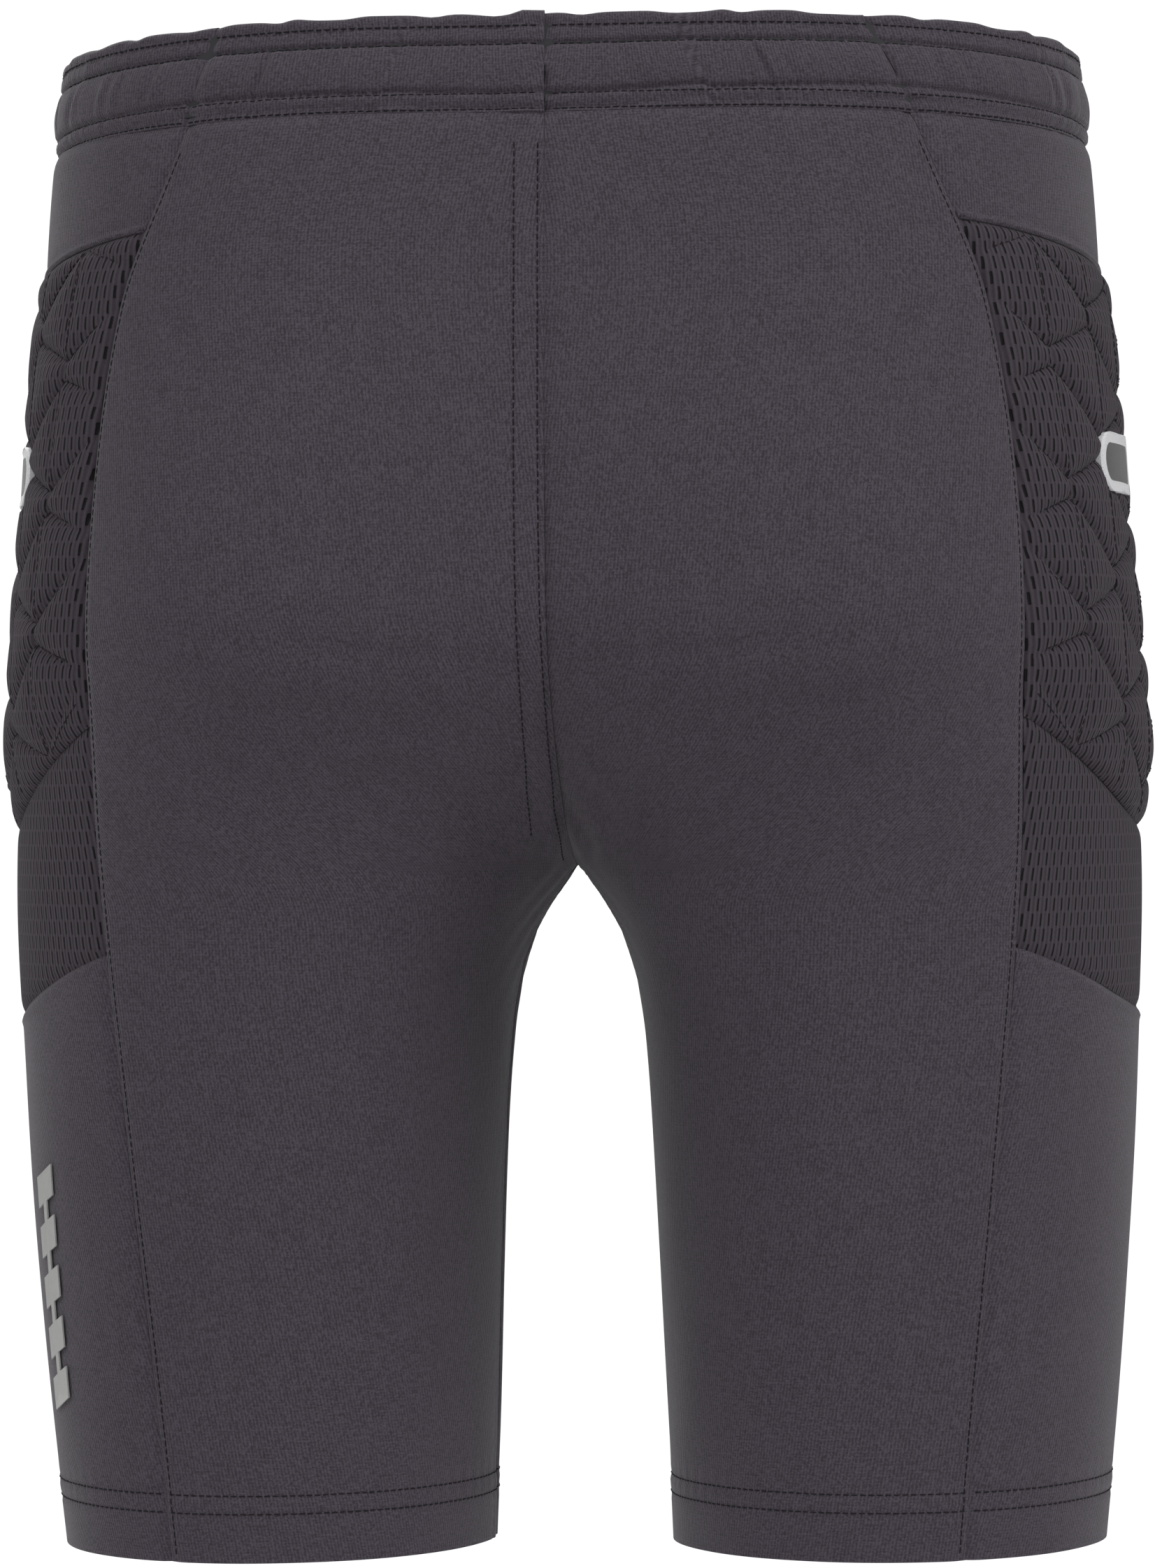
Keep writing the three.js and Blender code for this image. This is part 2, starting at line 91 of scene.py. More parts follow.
class ShortsForm(PropertyGroup):
    """The body form that the cloth follows."""

    inseam: length("Inseam", "Hem to the crotch point", 0.214)
    waist_tilt: FloatProperty(
        name="Waist tilt", description="Rise of the top edge towards the back", default=0.057
    )
    band_height: length("Band height", "Height of the waistband", 0.030)
    hem_depth: length("Hem depth", "Height of the turned-up hem", 0.021)
    waist_width: length("Waist half width", "Centre to the side at the waist", 0.163)
    hip_width: length("Hip half width", "Centre to the side at the hips", 0.176)
    thigh_width: length("Thigh half width", "Centre to the side at the crotch", 0.180)
    hem_width: length("Hem half width", "Centre to the side at the hem", 0.1665)
    leg_gap: length("Leg gap", "Half the gap between the legs at the hem", 0.029)


class ShortsCloth(PropertyGroup):
    """The cloth, its seams and its stitches."""

    thickness: length("Cloth thickness", "Thickness of the jersey", 0.0009)
    seam_dip: length("Seam dip", "How far a panel's edge sinks at a seam", 0.0011)
    seam_reach: length("Seam reach", "Width of the slope beside a seam", 0.0024)
    stitch_length: length("Stitch length", "Length of one stitch", 0.0020)
    stitch_gap: length("Stitch gap", "Cloth between two stitches", 0.0006)
    thread: length("Thread radius", "Radius of the sewing thread", 0.00025)
    needle_gap: length("Needle gap", "Between the rows of a twin-needle seam", 0.0056)


class ShortsPad(PropertyGroup):
    """The quilted hip pads."""

    rise: length("Pad rise", "How far the pad stands proud of the form", 0.0064)
    edge: length("Pad edge", "Width of the steep slope round the pad", 0.005)
    side_slope: length("Side slope", "Width of the slow slope at the pad's sides", 0.034)
    foot_slope: length("Foot slope", "Width of the slow slope at the pad's foot", 0.030)
    top_edge: length("Top edge", "Width of the slope under the yoke seam", 0.075)
    column: length("Column spacing", "Between two stitched columns", 0.0284)
    period: length("Period", "Height at which the quilting repeats", 0.0410)
    pinch: length("Pinch", "Height of the short side of a cell", 0.0058)
    drop: length("Drop", "Fall of a cell's long side over one column", 0.0215)
    first_vertex: length("First vertex", "Height above the hem of a cell's corner", 0.3330)
    groove: length("Groove", "Depth of the quilting lines", 0.0040)
    shoulder: length("Shoulder", "From a quilting line to where a cell is full", 0.0090)


class ShortsTrim(PropertyGroup):
    """The badges."""

    badge_width: length("Badge width", "From end to end", 0.048)
    badge_shift: length("Badge shift", "How far the badge's middle lies behind the side", 0.022)


class ShortsColours(PropertyGroup):
    """The finishes' colours."""

    jersey: colour("Jersey", "Body fabric", (0.0600, 0.0500, 0.0640))
    mesh: colour("Mesh", "Quilted and plain mesh", (0.0400, 0.0330, 0.0410))
    lining: colour("Lining", "Inner face of the pads", (0.0280, 0.0230, 0.0290))
    # The thread colour is far darker than the jersey: painted shade that stands for the needle holes along
    # each row of stitches.
    thread: colour("Thread", "Sewing thread", (0.0125, 0.0103, 0.0133))
    elastic: colour("Elastic", "Waist elastic", (0.0200, 0.0180, 0.0230))
    badge: colour("Badge", "Embroidery thread", (0.86, 0.86, 0.88))
    film: colour("Film", "Reflective transfer", (0.50, 0.50, 0.49))
    label: colour("Label", "Woven label", (0.62, 0.62, 0.59))
    floor: colour("Floor", "Studio floor", (0.86, 0.86, 0.86))


class ShortsStage(PropertyGroup):
    """The camera and the light."""

    azimuth: FloatProperty(name="Azimuth", description="Camera turn in degrees", default=184.6)
    distance: length("Distance", "Camera to the middle of the shorts", 2.2)
    height: length("Height", "Camera height above the hem", 0.2408)
    view_height: length("View height", "Height of the picture at the shorts", 0.5027)
    roll: FloatProperty(name="Roll", description="Camera roll in degrees", default=0.6)
    floor_drop: length("Floor drop", "Floor below the hem", 0.5)
    ambient: FloatProperty(name="Ambient", description="Strength of the even light", default=0.36)
    key: FloatProperty(name="Key", description="Power of the soft key light in watts", default=30)


def settings():
    """The scene's settings."""
    return bpy.context.scene


# ---- The body form -------------------------------------------------------------------------------


def profile(points):
    """A smooth value along the height, through (height, value) points."""
    heights, values = (np.array(column, float) for column in zip(*points))
    before = np.maximum(np.arange(len(points)) - 1, 0)
    after = np.minimum(np.arange(len(points)) + 1, len(points) - 1)
    slopes = (values[after] - values[before]) / (heights[after] - heights[before])

    def at(height):
        height = np.asarray(height, float)
        i = np.clip(np.searchsorted(heights, height) - 1, 0, len(points) - 2)
        span = heights[i + 1] - heights[i]
        t = np.clip((height - heights[i]) / span, 0, 1)
        start = (2 * t**3 - 3 * t**2 + 1) * values[i] + (t**3 - 2 * t**2 + t) * slopes[i] * span
        end = (3 * t**2 - 2 * t**3) * values[i + 1] + (t**3 - t**2) * slopes[i + 1] * span
        return start + end

    return at


def smoothstep(value, low, high):
    """0 below low, 1 above high, and smooth between."""
    t = np.clip((np.asarray(value, float) - low) / (high - low), 0, 1)
    return t * t * (3 - 2 * t)


def unit(vectors):
    """The vectors, each scaled to a length of 1."""
    return vectors / np.maximum(np.linalg.norm(vectors, axis=-1, keepdims=True), 1e-12)


def bulge(distance, reach):
    """A round shoulder: 0 at a seam, rising steeply at first, to 1 at a distance."""
    t = 1 - np.clip(np.asarray(distance, float) / reach, 0, 1)
    return np.sqrt(1 - t * t)


def ease(distance, reach):
    """A slow slope: 0 at a seam, rising to 1 at a distance."""
    return np.sin(math.pi / 2 * np.clip(distance / reach, 0, 1))


class Form:
    """The shape of one half, the wearer's left. Heights are above the hem. An angle is 0 at the side,
    positive towards the back and negative towards the front."""

    BACK = {"waist": 0.098, "seat": 0.124, "crotch": 0.099, "hem": 0.079}
    FRONT = {"waist": 0.092, "seat": 0.110, "crotch": 0.098, "hem": 0.077}
    CLEFT = 0.06

    def __init__(self):
        size = settings().shorts_form
        self.inseam, self.rise = size.inseam, OUTSEAM - size.inseam
        self.band, self.tilt, self.gap = size.band_height, size.waist_tilt, size.leg_gap
        inseam, rise = self.inseam, self.rise
        hem, thigh, hip, waist = size.hem_width, size.thigh_width, size.hip_width, size.waist_width
        self.half_width = profile([
            (0, hem),
            (0.4 * inseam, 0.42 * hem + 0.58 * thigh),
            (0.7 * inseam, 0.14 * hem + 0.86 * thigh),
            (inseam, thigh),
            (inseam + 0.25 * rise, hip),
            (inseam + 0.49 * rise, 0.6 * hip + 0.4 * waist),
            (inseam + 0.8 * rise, 0.35 * hip + 0.65 * waist),
            (OUTSEAM, waist),
        ])
        self.centre = profile([
            (0, (hem + self.gap) / 2),
            (inseam, thigh / 2),
            (inseam + 0.33 * rise, 0.47 * hip),
            (OUTSEAM, 0.28 * waist),
        ])
        self.back, self.front = self.depth(self.BACK), self.depth(self.FRONT)
        turn = math.radians
        self.back_seam = profile([
            (0, turn(68)),
            (0.35 * inseam, turn(63)),
            (0.75 * inseam, turn(57)),
            (inseam + 0.15 * rise, turn(50.5)),
            (inseam + 0.45 * rise, turn(45)),
            (inseam + 0.68 * rise, turn(47.3)),
            (inseam + 0.82 * rise, turn(54)),
            (OUTSEAM, turn(62)),
        ])

    def depth(self, levels):
        """Half the depth along the height, for the back or the front."""
        return profile([
            (0, levels["hem"]),
            (0.5 * self.inseam, 0.5 * (levels["hem"] + levels["crotch"]) - 0.001),
            (self.inseam, levels["crotch"]),
            (self.inseam + 0.33 * self.rise, levels["seat"]),
            (self.inseam + 0.75 * self.rise, 0.45 * levels["seat"] + 0.55 * levels["waist"]),
            (OUTSEAM, levels["waist"]),
        ])

    def front_seam(self, height):
        """The front seam's angle."""
        return -0.96 * self.back_seam(height)

    def leg_gap(self, height):
        """Half the gap between the legs."""
        below = np.maximum(self.inseam - height, 0)
        return (self.gap - 0.009) * (1 - np.exp(-below / 0.018)) + 0.009 * below / self.inseam

    def inner_width(self, height, to_back):
        """From the leg's centre to the form's inner side."""
        up = np.maximum(height - self.inseam, 1e-9)
        curve_height = np.where(to_back, 0.33, 0.30) * self.rise
        curve = np.sqrt(1 - (1 - np.minimum(up / curve_height, 1)) ** 2)
        fade = smoothstep(up, 0.3 * self.rise, 0.8 * self.rise)
        share = curve * (1 - self.CLEFT * (1 - fade) - 0.004)
        above = self.centre(height) / np.sqrt(1 - share**2)
        return np.where(height <= self.inseam, self.centre(height) - self.leg_gap(height), above)

    def point(self, angle, height):
        """Points of the form, in the row frame."""
        angle, height = np.broadcast_arrays(np.asarray(angle, float), np.asarray(height, float))
        to_back = angle >= 0
        across = np.where(
            np.cos(angle) >= 0,
            self.half_width(height) - self.centre(height),
            self.inner_width(height, to_back),
        )
        deep = np.where(to_back, self.back(height), self.front(height))
        x = self.centre(height) + across * np.cos(angle)
        return np.stack([x, deep * np.sin(angle), height - OUTSEAM], axis=-1)

    def normal(self, angle, height):
        """The form's outward direction."""
        step, rise = 0.004, 0.001
        around = self.point(angle + step, height) - self.point(angle - step, height)
        up = self.point(angle, height + rise) - self.point(angle, height - rise)
        return unit(np.cross(around, up))

    def round_scale(self, angle, height):
        """The length that one radian covers."""
        ahead, behind = self.point(angle + 0.01, height), self.point(angle - 0.01, height)
        return np.linalg.norm(ahead - behind, axis=-1) / 0.02

    def centre_angle(self, height, back, gap=MEETING):
        """The angle where the back or front comes within a gap of the centre plane or the inseam."""
        height = np.asarray(height, float)
        to_back = np.full(height.shape, back)
        inner = self.inner_width(height, to_back)
        share = np.minimum((self.centre(height) - gap) / inner, 1)
        deep = self.back(height) if back else self.front(height)
        angle = np.minimum(math.pi - np.arccos(share), math.pi - gap / deep)
        return angle if back else -angle

    def waist_top(self, angle):
        """The height of the top edge."""
        return OUTSEAM + self.tilt * self.point(angle, OUTSEAM)[..., 1]


def half_gap(form, angle, height):
    """A small angle that keeps two panels' edges apart."""
    return MEETING / form.round_scale(angle, height)


def span_of(form, name):
    """A panel's first and last angle at a height."""

    def back(h):
        first = form.back_seam(h)
        return first + half_gap(form, first, h), form.centre_angle(h, True)

    def side(h):
        first, last = form.front_seam(h), form.back_seam(h)
        return first + half_gap(form, first, h), last - half_gap(form, last, h)

    def front(h):
        last = form.front_seam(h)
        return form.centre_angle(h, False), last - half_gap(form, last, h)

    return {"back": back, "side": side, "front": front}[name]


def side_curve(front, side, back):
    """A height along the side panel, from its front edge (0) through the side (0.5) to its back edge (1)."""
    return profile([(0, front), (0.5, side), (1, back)])


yoke_seam = side_curve(OUTSEAM - 0.080, OUTSEAM - 0.070, OUTSEAM - 0.058)


def pad_foot(form):
    """The height of the seam between the pad and the plain mesh under it."""
    return side_curve(form.inseam + 0.038, form.inseam + 0.012, form.inseam + 0.046)


def mesh_foot(form):
    """The height of the seam between the plain mesh and the lower side panel."""
    return side_curve(form.inseam - 0.028, form.inseam - 0.046, form.inseam - 0.025)


# ---- Sheets on the form --------------------------------------------------------------------------


def crowded(count, size, edges=(0.0003, 0.0008, 0.0016, 0.0026)):
    """Shares from 0 to 1, evenly spaced, with more of them close to both ends."""
    near = [e / size for e in edges]
    inner = np.linspace(near[-1] * 1.6, 1 - near[-1] * 1.6, count)
    return np.array([0, *near, *inner, *(1 - e for e in reversed(near)), 1])


class Sheet:
    """A panel laid on the form: its angles, heights, and distances along the cloth."""

    def __init__(self, form, span, foot, top, across, up, grain=0.5):
        u, v = np.meshgrid(across, up)
        self.u, self.v = u, v
        self.form = form
        self.height = foot(u) + (top(u) - foot(u)) * v
        first, last = span(self.height)
        self.angle = first + (last - first) * u
        self.points = form.point(self.angle, self.height)
        self.soften()
        self.normals = self.facing()
        self.along = self.run(axis=1)
        self.risen = self.run(axis=0)
        self.from_sides = np.minimum(self.along, self.along[:, -1:] - self.along)
        self.from_ends = np.minimum(self.risen, self.risen[-1:, :] - self.risen)
        middle = np.argmin(np.abs(np.asarray(across) - grain))
        self.grain = self.along - self.along[:, middle : middle + 1]
        self.relief = np.zeros(u.shape)
        self.rim = np.minimum(self.from_sides, self.from_ends)

    def soften(self):
        """Rounds the form's change of slope at the crotch level, away from the centre seam."""
        inner = smoothstep(-np.cos(self.angle), 0, 0.25)
        edge = np.minimum(np.abs(self.points[..., 0]), 0.02) / 0.02
        level = np.exp(-(((self.height - self.form.inseam) / 0.035) ** 2))
        weight = (0.5 * inner * edge * level)[1:-1, :, None]
        for _ in range(40):
            middle = (self.points[:-2] + self.points[2:]) / 2
            self.points[1:-1] += weight * (middle - self.points[1:-1])

    def facing(self):
        """The outward direction at each point. At the centre seam it stays in the centre plane, so that
        the two halves meet whatever their relief."""
        around, up = np.gradient(self.points, axis=1), np.gradient(self.points, axis=0)
        out = unit(np.cross(around, up))
        joined = self.points[..., 2] >= self.form.inseam - OUTSEAM
        away = np.clip((np.abs(self.points[..., 0]) - 0.00003) / 0.004, 0, 1)
        out[..., 0] *= np.where(joined, away, 1)
        return unit(out)

    def run(self, axis):
        """The length along the cloth from the first row or column."""
        steps = np.linalg.norm(np.diff(self.points, axis=axis), axis=-1)
        start = np.zeros_like(steps.take([0], axis=axis))
        return np.concatenate([start, np.cumsum(steps, axis=axis)], axis=axis)

    def size(self):
        """The mean width and length of the cloth."""
        return float(self.along[:, -1].mean()), float(self.risen[-1].mean())

    def area(self):
        """The area of the cloth."""
        a, b = self.points[1:, 1:] - self.points[:-1, :-1], self.points[:-1, 1:] - self.points[1:, :-1]
        return float(np.linalg.norm(np.cross(a, b), axis=-1).sum() / 2)

    def dip_edges(self, cloth, sides=(True, True), foot=True, top=True):
        """Sinks the panel's edges where they are sewn."""
        near = [self.along if sides[0] else None, self.along[:, -1:] - self.along if sides[1] else None]
        near += [self.risen if foot else None, self.risen[-1:, :] - self.risen if top else None]
        for distance in near:
            if distance is not None:
                fall = np.exp(-((distance / cloth.seam_reach) ** 1.5) * 1.2)
                self.relief = self.relief - cloth.seam_dip * fall

    def groove(self, distance, depth, width):
        """Presses a line of stitches into the cloth."""
        self.relief = self.relief - depth * np.exp(-((distance / width) ** 2))

    def outer(self):
        """The outer face's points."""
        return self.points + self.normals * self.relief[..., None]

    def grid(self):
        """The outer face's point numbers and its quads."""
        index = np.arange(self.u.size).reshape(self.u.shape)
        quads = np.stack([index[:-1, :-1], index[:-1, 1:], index[1:, 1:], index[1:, :-1]], -1)
        return index, quads.reshape(-1, 4)

    def mesh(self, name, side, thickness, bottom=None):
        """A closed mesh between the outer face and an inner one."""
        outer = self.outer()
        under = outer - self.normals * thickness if bottom is None else bottom
        vertices = np.concatenate([outer.reshape(-1, 3), under.reshape(-1, 3)])
        index, quads = self.grid()
        rim = np.concatenate([index[0, :], index[1:, -1], index[-1, -2::-1], index[-2:0:-1, 0]])
        after, below = np.roll(rim, -1), index.size
        edge = np.stack([rim, rim + below, after + below, after], -1)
        faces = np.concatenate([quads, quads[:, ::-1] + below, edge])
        coordinates = np.stack([self.grain, self.height, self.rim], -1)
        coordinates = np.tile(coordinates.reshape(-1, 3), (2, 1))
        made = mesh_object(name, vertices, faces, side, coordinates)
        sharpen_rim(made, len(quads))
        return made

    def surface(self, side):
        """A search tree of the outer face, on a side of the shorts."""
        outer = self.outer() * np.array([SIDES[side], 1, 1])
        return BVHTree.FromPolygons(outer.reshape(-1, 3).tolist(), self.grid()[1].tolist())


def smooth_object(name, vertices, faces):
    """A smooth object from lists of points and faces."""
    data = bpy.data.meshes.new(name)
    data.from_pydata(vertices, [], faces)
    data.polygons.foreach_set("use_smooth", [True] * len(faces))
    data.update()
    made = bpy.data.objects.new(name, data)
    bpy.context.scene.collection.objects.link(made)
    return made


def mesh_object(name, vertices, faces, side="left", coordinates=None):
    """A smooth object from arrays, mirrored for the right side."""
    vertices = np.asarray(vertices, float) * np.array([SIDES[side], 1, 1])
    faces = np.asarray(faces)
    if side == "right":
        faces = faces[:, ::-1]
    made = smooth_object(name, vertices.tolist(), faces.tolist())
    if coordinates is not None:
        cloth = made.data.attributes.new("cloth", "FLOAT_VECTOR", "POINT")
        cloth.data.foreach_set("vector", np.asarray(coordinates, np.float32).ravel())
    return made


def sharpen_rim(made, quads):
    """Keeps the corners of the cloth's cut edge crisp."""
    data = made.data
    faces_of = {}
    for face in data.polygons[2 * quads :]:
        for key in face.edge_keys:
            faces_of[key] = faces_of.get(key, 0) + 1
    sharp = data.attributes.new("sharp_edge", "BOOLEAN", "EDGE")
    rim = [faces_of.get(tuple(sorted(edge.vertices)), 0) == 1 for edge in data.edges]
    sharp.data.foreach_set("value", rim)


# ---- Stitches ------------------------------------------------------------------------------------


def drop_onto(surface, points, normals, reach=0.02):
    """Moves points along their normals onto a surface. Returns the points and the surface's normals."""
    found, facing = [], []
    for point, normal in zip(points, normals):
        start, way = Vector(point + normal * reach), -Vector(normal)
        hit, out, _, _ = surface.ray_cast(start, way, 2 * reach)
        if hit is None:
            hit, out, _, _ = surface.find_nearest(Vector(point))
        found.append(hit[:])
        facing.append(out[:] if out.dot(way) < 0 else (-out)[:])
    return np.array(found), np.array(facing)


def stitch_row(surface, angles, heights, form, side, cloth, sink=0.0):
    """The stations of one row of stitches: arrays of points and normals, five to a stitch."""
    path = form.point(angles, heights)
    out = form.normal(angles, heights)
    pitch = cloth.stitch_length + cloth.stitch_gap
    steps = np.linalg.norm(np.diff(path, axis=0), axis=1)
    run = np.concatenate([[0], np.cumsum(steps)])
    count = max(int(run[-1] // pitch), 1)
    starts = (np.arange(count) + 0.5) * run[-1] / count
    shares = np.array([-0.5, -0.42, 0, 0.42, 0.5])
    at = (starts[:, None] + shares * cloth.stitch_length).ravel()
    mirror = np.array([SIDES[side], 1, 1])
    points = np.stack([np.interp(at, run, path[:, i]) for i in range(3)], -1) * mirror
    normals = np.stack([np.interp(at, run, out[:, i]) for i in range(3)], -1) * mirror
    points, normals = drop_onto(surface, points, normals)
    lift = np.tile(np.array([-1.2, 0.0, 0.45, 0.0, -1.2]) * cloth.thread, count) - sink
    points = points + normals * lift[:, None]
    return points.reshape(count, 5, 3), normals.reshape(count, 5, 3)


def thread_object(name, rows, radius, sides=5):
    """One object of many short threads, each swept along its stations."""
    points = np.concatenate([p for p, _ in rows])
    normals = np.concatenate([n for _, n in rows])
    count, stations = points.shape[:2]
    ahead = unit(np.gradient(points, axis=1))
    across = unit(np.cross(normals, ahead))
    out = np.cross(ahead, across)
    turn = np.arange(sides) / sides * TURN
    thin = np.array([0.5, 0.9, 1.0, 0.9, 0.5]) * radius
    ring = across[:, :, None] * np.cos(turn)[:, None] + out[:, :, None] * np.sin(turn)[:, None]
    vertices = points[:, :, None] + ring * thin[None, :, None, None]
    index = np.arange(stations * sides).reshape(stations, sides)
    around = np.roll(index, -1, axis=1)
    wall = np.stack([index[:-1], around[:-1], around[1:], index[1:]], -1).reshape(-1, 4)
    faces = (wall[None] + (np.arange(count) * stations * sides)[:, None, None]).reshape(-1, 4)
    ends = np.concatenate([index[0][None, ::-1], index[-1][None]])
    caps = (ends[None] + (np.arange(count) * stations * sides)[:, None, None]).reshape(-1, sides)
    return smooth_object(name, vertices.reshape(-1, 3).tolist(), faces.tolist() + caps.tolist())


# ---- Finishes ------------------------------------------------------------------------------------


class Finish:
    """A material's node tree, and short ways to add to it."""

    def __init__(self, name, colour, roughness, **sockets):
        self.material = bpy.data.materials.new(name)
        self.material.use_nodes = True
        self.tree = self.material.node_tree
        self.shader = self.tree.nodes["Principled BSDF"]
        self.shader.inputs["Base Color"].default_value = (*colour, 1)
        self.shader.inputs["Roughness"].default_value = roughness
        for socket, value in sockets.items():
            self.shader.inputs[socket.replace("_", " ")].default_value = value
        self.colour = colour

    def add(self, kind, **values):
        """A node with its properties set."""
        node = self.tree.nodes.new(kind)
        for key, value in values.items():
            setattr(node, key, value)
        return node

    def link(self, source, target):
        """Joins two sockets."""
        self.tree.links.new(source, target)

    def value(self, socket, source):
        """Feeds a socket from another socket or a number."""
        if isinstance(source, (int, float)):
            socket.default_value = source
        else:
            self.link(source, socket)

    def math(self, operation, a, b=0.0, c=0.0):
        """A maths node's result."""
        node = self.add("ShaderNodeMath", operation=operation)
        for socket, source in zip(node.inputs, (a, b, c)):
            self.value(socket, source)
        return node.outputs[0]

    def cloth(self):
        """The place on the cloth, in metres: the whole of it, across the grain, up, and from the rim."""
        node = self.add("ShaderNodeAttribute", attribute_name="cloth")
        split = self.add("ShaderNodeSeparateXYZ")
        self.link(node.outputs["Vector"], split.inputs[0])
        return node.outputs["Vector"], *split.outputs

    def place(self):
        """The place in the row frame."""
        return self.add("ShaderNodeTexCoord").outputs["Object"]

    def noise(self, vector, scale, detail=2.0, roughness=0.5):
        """A noise value from 0 to 1."""
        node = self.add("ShaderNodeTexNoise")
        self.link(vector, node.inputs["Vector"])
        node.inputs["Scale"].default_value = scale
        node.inputs["Detail"].default_value = detail
        node.inputs["Roughness"].default_value = roughness
        return node.outputs["Fac"]

    def wave(self, value, pitch, phase=0.0):
        """A smooth ridge from 0 to 1 at each pitch along a value."""
        turned = self.math("MULTIPLY_ADD", value, TURN / pitch, phase)
        return self.math("MULTIPLY_ADD", self.math("SINE", turned), 0.5, 0.5)

    def tint(self, factor, dark, light):
        """Scales the colour between two shares of itself by a factor."""
        ramp = self.add("ShaderNodeMix", data_type="RGBA")
        self.value(ramp.inputs["Factor"], factor)
        for socket, share in ((ramp.inputs["A"], dark), (ramp.inputs["B"], light)):
            socket.default_value = (*(min(channel * share, 1) for channel in self.colour), 1)
        return ramp.outputs["Result"]

    def paint(self, result):
        """Gives the surface its colour from a socket."""
        self.link(result, self.shader.inputs["Base Color"])

    def bump(self, height, distance, strength=1.0, before=None):
        """Raises the surface by a height of 0 to 1 times a distance in metres."""
        node = self.add("ShaderNodeBump")
        node.inputs["Distance"].default_value = distance
        node.inputs["Strength"].default_value = strength
        self.link(height, node.inputs["Height"])
        if before is not None:
            self.link(before, node.inputs["Normal"])
        self.link(node.outputs["Normal"], self.shader.inputs["Normal"])
        return node.outputs["Normal"]


def jersey_finish(name, colour):
    """Brushed stretch jersey: fine upright ribs, a faint twill and a heather speckle."""
    finish = Finish(name, colour, 0.85, Sheen_Weight=0.22, Sheen_Roughness=0.4)
    finish.shader.inputs["Specular IOR Level"].default_value = 0.2
    cloth, across, up, _ = finish.cloth()
    rib = finish.wave(finish.math("MULTIPLY_ADD", up, 0.18, across), 0.0011)
    course = finish.wave(up, 0.0009)
    speckle = finish.noise(cloth, 900, 3, 0.75)
    fleck = finish.noise(cloth, 2600, 1, 0.5)
    mottle = finish.noise(cloth, 110, 4, 0.7)
    weave = finish.math("MULTIPLY_ADD", course, 0.35, rib)
    shade = finish.math("MULTIPLY_ADD", speckle, 1.1, finish.math("MULTIPLY", weave, 0.16))
    shade = finish.math("MULTIPLY_ADD", fleck, 0.5, shade)
    shade = finish.math("MULTIPLY_ADD", mottle, 0.16, shade)
    shade = finish.math("MULTIPLY_ADD", shade, 3.2, -2.62)
    finish.paint(finish.tint(shade, 0.60, 1.42))
    knit = finish.bump(finish.math("ADD", weave, speckle), 0.00012, 0.7)
    finish.bump(mottle, 0.0003, 0.35, knit)
    return finish.material


def mesh_finish(name, colour):
    """Open sports mesh: upright ribs of staggered long cells. Its colour follows the relief: painted shade
    in the gaps and grooves between the ribs, and painted light on the raised ribs.
    """
    finish = Finish(name, colour, 0.88, Sheen_Weight=0.06, Sheen_Roughness=0.4)
    finish.shader.inputs["Specular IOR Level"].default_value = 0.2
    cloth, across, up, _ = finish.cloth()
    wander = finish.noise(cloth, 160, 2, 0.5)
    column = finish.math("MULTIPLY_ADD", wander, 0.0005, across)
    turned = finish.math("MULTIPLY", column, TURN / 0.0035)
    rows = finish.math("COSINE", finish.math("MULTIPLY", up, math.pi / 0.0047))
    rows = finish.math("MULTIPLY", rows, 3.0)
    rows = finish.math("MAXIMUM", finish.math("MINIMUM", rows, 1.0), -1.0)
    slot = finish.math("MULTIPLY", finish.math("COSINE", turned), rows)
    slot = finish.math("MULTIPLY_ADD", slot, 3.6, -2.4)
    slot = finish.math("MAXIMUM", finish.math("MINIMUM", slot, 1.0), 0.0)
    rib = finish.wave(column, 0.00175, math.pi / 2)
    raised = finish.math("MULTIPLY_ADD", slot, -0.75, 1.0)
    raised = finish.math("MULTIPLY_ADD", rib, -0.35, raised)
    speckle = finish.noise(cloth, 1400, 2, 0.7)
    # painted shade and light: the colour darkens into the slots and grooves and brightens on the raised
    # ribs, plus a random speckle
    shade = finish.math("MULTIPLY_ADD", speckle, 0.4, finish.math("MULTIPLY_ADD", raised, 0.95, -0.35))
    finish.paint(finish.tint(shade, 0.18, 1.95))
    knit = finish.bump(raised, 0.0006, 1.0)
    finish.bump(speckle, 0.0001, 0.5, knit)
    return finish.material


def tricot_finish(name, colour):
    """Smooth warp-knit lining: narrow upright ribs."""
    finish = Finish(name, colour, 0.7, Sheen_Weight=0.2)
    cloth, across, _, _ = finish.cloth()
    rib = finish.wave(across, 0.0008)
    speckle = finish.noise(cloth, 900, 2, 0.6)
    finish.paint(finish.tint(finish.math("MULTIPLY_ADD", rib, 0.4, speckle), 0.7, 1.25))
    finish.bump(rib, 0.0001, 0.6)
    return finish.material


def thread_finish(name, colour):
    """Twisted sewing thread, coloured far darker than the cloth as painted shade of the needle holes along
    each row.
    """
    finish = Finish(name, colour, 0.75)
    finish.shader.inputs["Specular IOR Level"].default_value = 0.2
    ply = finish.noise(finish.place(), 2500, 2, 0.6)
    # the dark base colour is painted shade of the needle holes, not the thread's own tone
    finish.paint(finish.tint(ply, 0.6, 1.4))
    finish.bump(ply, 0.0001, 0.5)
    return finish.material


